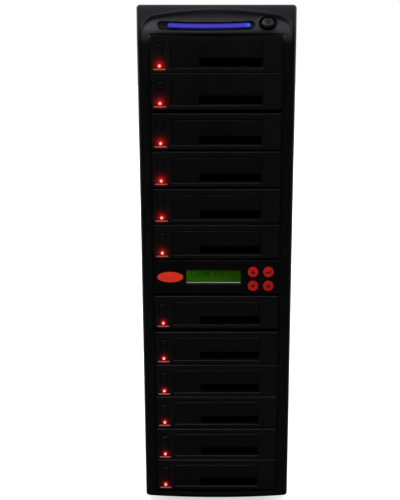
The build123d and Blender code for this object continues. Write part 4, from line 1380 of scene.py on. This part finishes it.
# Pan-head screws: a shallow dome with a cross let into it, on the rear panel and the supply
screw = {
    "radius": 3.4,
    "height": 1.9,
    "fall": 0.75,
    "cross": 0.95,
    "arm": 2.1,
    "deep": 0.9,
    "soft": (0.3, 0.5),
    "around": {"caseFan": (0.0, 197.0, 250.0), "supplyFan": (-24.0, 196.0, 551.3)},
    "hole": 35.75,
}


# height over a polar grid: a dome that falls off as the fourth power of the radius, less the
# cross, whose arms shrink as they go in
def makeScrews():
    share = np.array([*np.linspace(0, 0.85, 11), 0.93, 0.98, 1.0])
    angle = circle(40)
    x, z = (screw["radius"] * np.outer(share, w) for w in (np.cos(angle), np.sin(angle)))
    narrow, far = np.minimum(np.abs(x), np.abs(z)), np.maximum(np.abs(x), np.abs(z))
    side, end = screw["soft"]
    cross = smooth((screw["cross"] / 2 - narrow) / side + 0.5) * smooth((screw["arm"] - far) / end)
    rise = screw["height"] * (1 - screw["fall"] * share[:, None] ** 4)
    dome = np.stack([x, rise - screw["deep"] * cross, z], axis=-1)
    wall = dome[-1] * [1, 0, 1]
    hole = (-screw["hole"], screw["hole"])
    corners = [(a, 0, b) for a in hole for b in hole]
    spots = [np.add(middle, corner) for middle in screw["around"].values() for corner in corners]
    return repeated(ringed([*dome, wall, 0 * wall]), spots)


add("feet", makeFeet(), footRubber(), "tower", "foot_rubber", ("rubber_feet",))
add("thumbscrewHeads", makeKnobs(), zincSteel(), "tower", "knob_metal", ("thumbscrews",), crease=30)
add("panScrews", makeScrews(), zincSteel(), "tower", "plated_steel", crease=40)
print("feet, thumbscrews and screws ready")

# Carried-over CAD nodes: their materials, and the width of the fine bevel on their edges
panels = ["top_panel", "left_side_cover", "right_side_cover", "base_pan", "front_frame"]
panels += ["left_bay_wall", "right_bay_wall", "controller_tray", "rear_panel"]
dressed = [
    (["rack_faces"], plastic("rack", lamps=True)),
    (["control_plate"], plastic("panel")),
    (flapNames, plastic("flap")),
    (keyNames, plastic("key", lamps=True)),
    (["rack_bodies", "display_module"], plastic("cage")),
    (["fan_frames", "case_fan_rotor", "supply_fan_rotor"], plastic("fan")),
    (["power_entry", "mains_rocker"], plastic("entry")),
    (["backplanes", "switch_boards", "circuit_boards"], circuitBoard()),
    (panels, powderCoat()),
    (["power_supply"], zincSteel()),
    (["light_guides"], guideClear()),
]
softEdges = {
    "rack_faces": 0.25,
    "control_plate": 0.35,
    "rack_bodies": 0.3,
    "power_supply": 0.25,
    "rear_panel": 0.2,
    "top_panel": 0.4,
    "left_side_cover": 0.4,
    "right_side_cover": 0.4,
    "power_entry": 0.25,
    "mains_rocker": 0.3,
    "fan_frames": 0.4,
    **dict.fromkeys(flapNames + keyNames, 0.25),
}


def softenEdges(made, width):
    weld = made.modifiers.new("weld", "WELD")
    weld.merge_threshold = 0.01 * mm
    bevel = made.modifiers.new("bevel", "BEVEL")
    bevel.width = width * mm
    bevel.segments = 2
    bevel.limit_method = "ANGLE"
    bevel.angle_limit = radians(40)
    bevel.use_clamp_overlap = True


for names, skin in dressed:
    for name in names:
        nodes[name].data.materials.clear()
        nodes[name].data.materials.append(skin)
for name, width in softEdges.items():
    softenEdges(nodes[name], width)
print("carried-over nodes dressed")

# Stage: a white floor that keeps the shadow, and a world that is white to the camera and
# behind the object, and dim in front of it
stage = {
    "floor": 6.0,
    "ambient": 0.3,
    "front": 0.03,
    "backward": (0.3, 0.7),
    "floorGlow": 0.62,
    "floorColour": 0.8,
    "floorFront": 0.15,
    "floorBehind": (-150.0, 150.0),
    "floorFar": (700.0, 1400.0),
}
softboxes = {
    "key": {"place": (-0.25, -1.3, 1.75), "aim": (0, -0.2, 0.5), "size": (1.4, 0.6), "power": 22},
    "left": {"place": (-2.4, 0.3, 1.2), "aim": (0, 0, 0.3), "size": (1.4, 1.8), "power": 24},
    "right": {"place": (2.4, 0.3, 1.2), "aim": (0, 0, 0.3), "size": (1.4, 1.8), "power": 24},
    "rear": {"place": (0.3, 2.6, 1.6), "aim": (0, 0.2, 0.3), "size": (2.0, 1.6), "power": 40},
    "top": {"place": (0, 0.2, 2.7), "aim": (0, 0, 0), "size": (1.6, 1.6), "power": 26},
}


def makeSoftbox(name, place, aim, size, power):
    data = bpy.data.lights.new(name, "AREA")
    data.shape = "RECTANGLE"
    data.size, data.size_y = size
    data.energy = power
    made = linked(name, data)
    made.location = place
    towards = Vector(aim) - Vector(place)
    made.rotation_euler = towards.to_track_quat("-Z", "Y").to_euler()


# an empty node tree, and its masks of the rays from the camera, in mirrors and through glass
def emptyTree(owner):
    owner.use_nodes = True
    tree = owner.node_tree
    tree.nodes.clear()
    rays = tree.nodes.new("ShaderNodeLightPath")
    kinds = ("Camera", "Glossy", "Transmission")
    return Wire(tree), [Wire(tree, rays.outputs["Is " + kind + " Ray"]) for kind in kinds]


def makeFloor():
    half = stage["floor"]
    mesh = bpy.data.meshes.new("floor")
    corners = [(-half, -half, 0), (half, -half, 0), (half, half, 0), (-half, half, 0)]
    mesh.from_pydata(corners, [], [(0, 1, 2, 3)])
    floor = linked("floor", mesh)
    paper = bpy.data.materials.new("paper")
    wire, (seen, mirrored, through) = emptyTree(paper)
    x, y, z, spot = places(wire)
    behind = y.ramp(*stage["floorBehind"])
    far = (x * x + y * y).root().ramp(*stage["floorFar"])
    shown = seen.over(through).over(mirrored * behind)
    dimmed = 1 - mirrored * (1 - behind) * (1 - stage["floorFront"])
    grey = dict.fromkeys(("Red", "Green", "Blue"), dimmed * stage["floorColour"])
    white = wire.node("ShaderNodeCombineColor", {}, grey)
    diffuse = wire.node("ShaderNodeBsdfDiffuse", {}, {"Color": white})
    lit = {"Strength": shown * (stage["floorGlow"] + (1 - stage["floorGlow"]) * far)}
    glowing = wire.node("ShaderNodeEmission", {}, {"Color": (1, 1, 1, 1), **lit})
    both = wire.node("ShaderNodeAddShader", {}, {0: diffuse, 1: glowing})
    plug(wire.tree.nodes.new("ShaderNodeOutputMaterial").inputs["Surface"], both)
    mesh.materials.append(paper)


def makeWorld():
    world = bpy.data.worlds.new("studio")
    bpy.context.scene.world = world
    wire, (seen, mirrored, through) = emptyTree(world)
    mirrored = mirrored.over(through)
    direction = {"Vector": wire.node("ShaderNodeTexCoord", out="Generated")}
    backward = wire.node("ShaderNodeSeparateXYZ", {}, direction, out="Y")
    inMirror = stage["front"] + (1 - stage["front"]) * backward.ramp(*stage["backward"])
    level = seen.over((1 - seen) * (mirrored * inMirror + (1 - mirrored) * stage["ambient"]))
    back = wire.node("ShaderNodeBackground", {}, {"Color": (1, 1, 1, 1), "Strength": level})
    plug(wire.tree.nodes.new("ShaderNodeOutputWorld").inputs["Surface"], back)


for name, settings in softboxes.items():
    makeSoftbox(name, **settings)
makeFloor()
makeWorld()
bpy.context.scene.view_settings.view_transform = "Standard"
print("stage and lights ready")
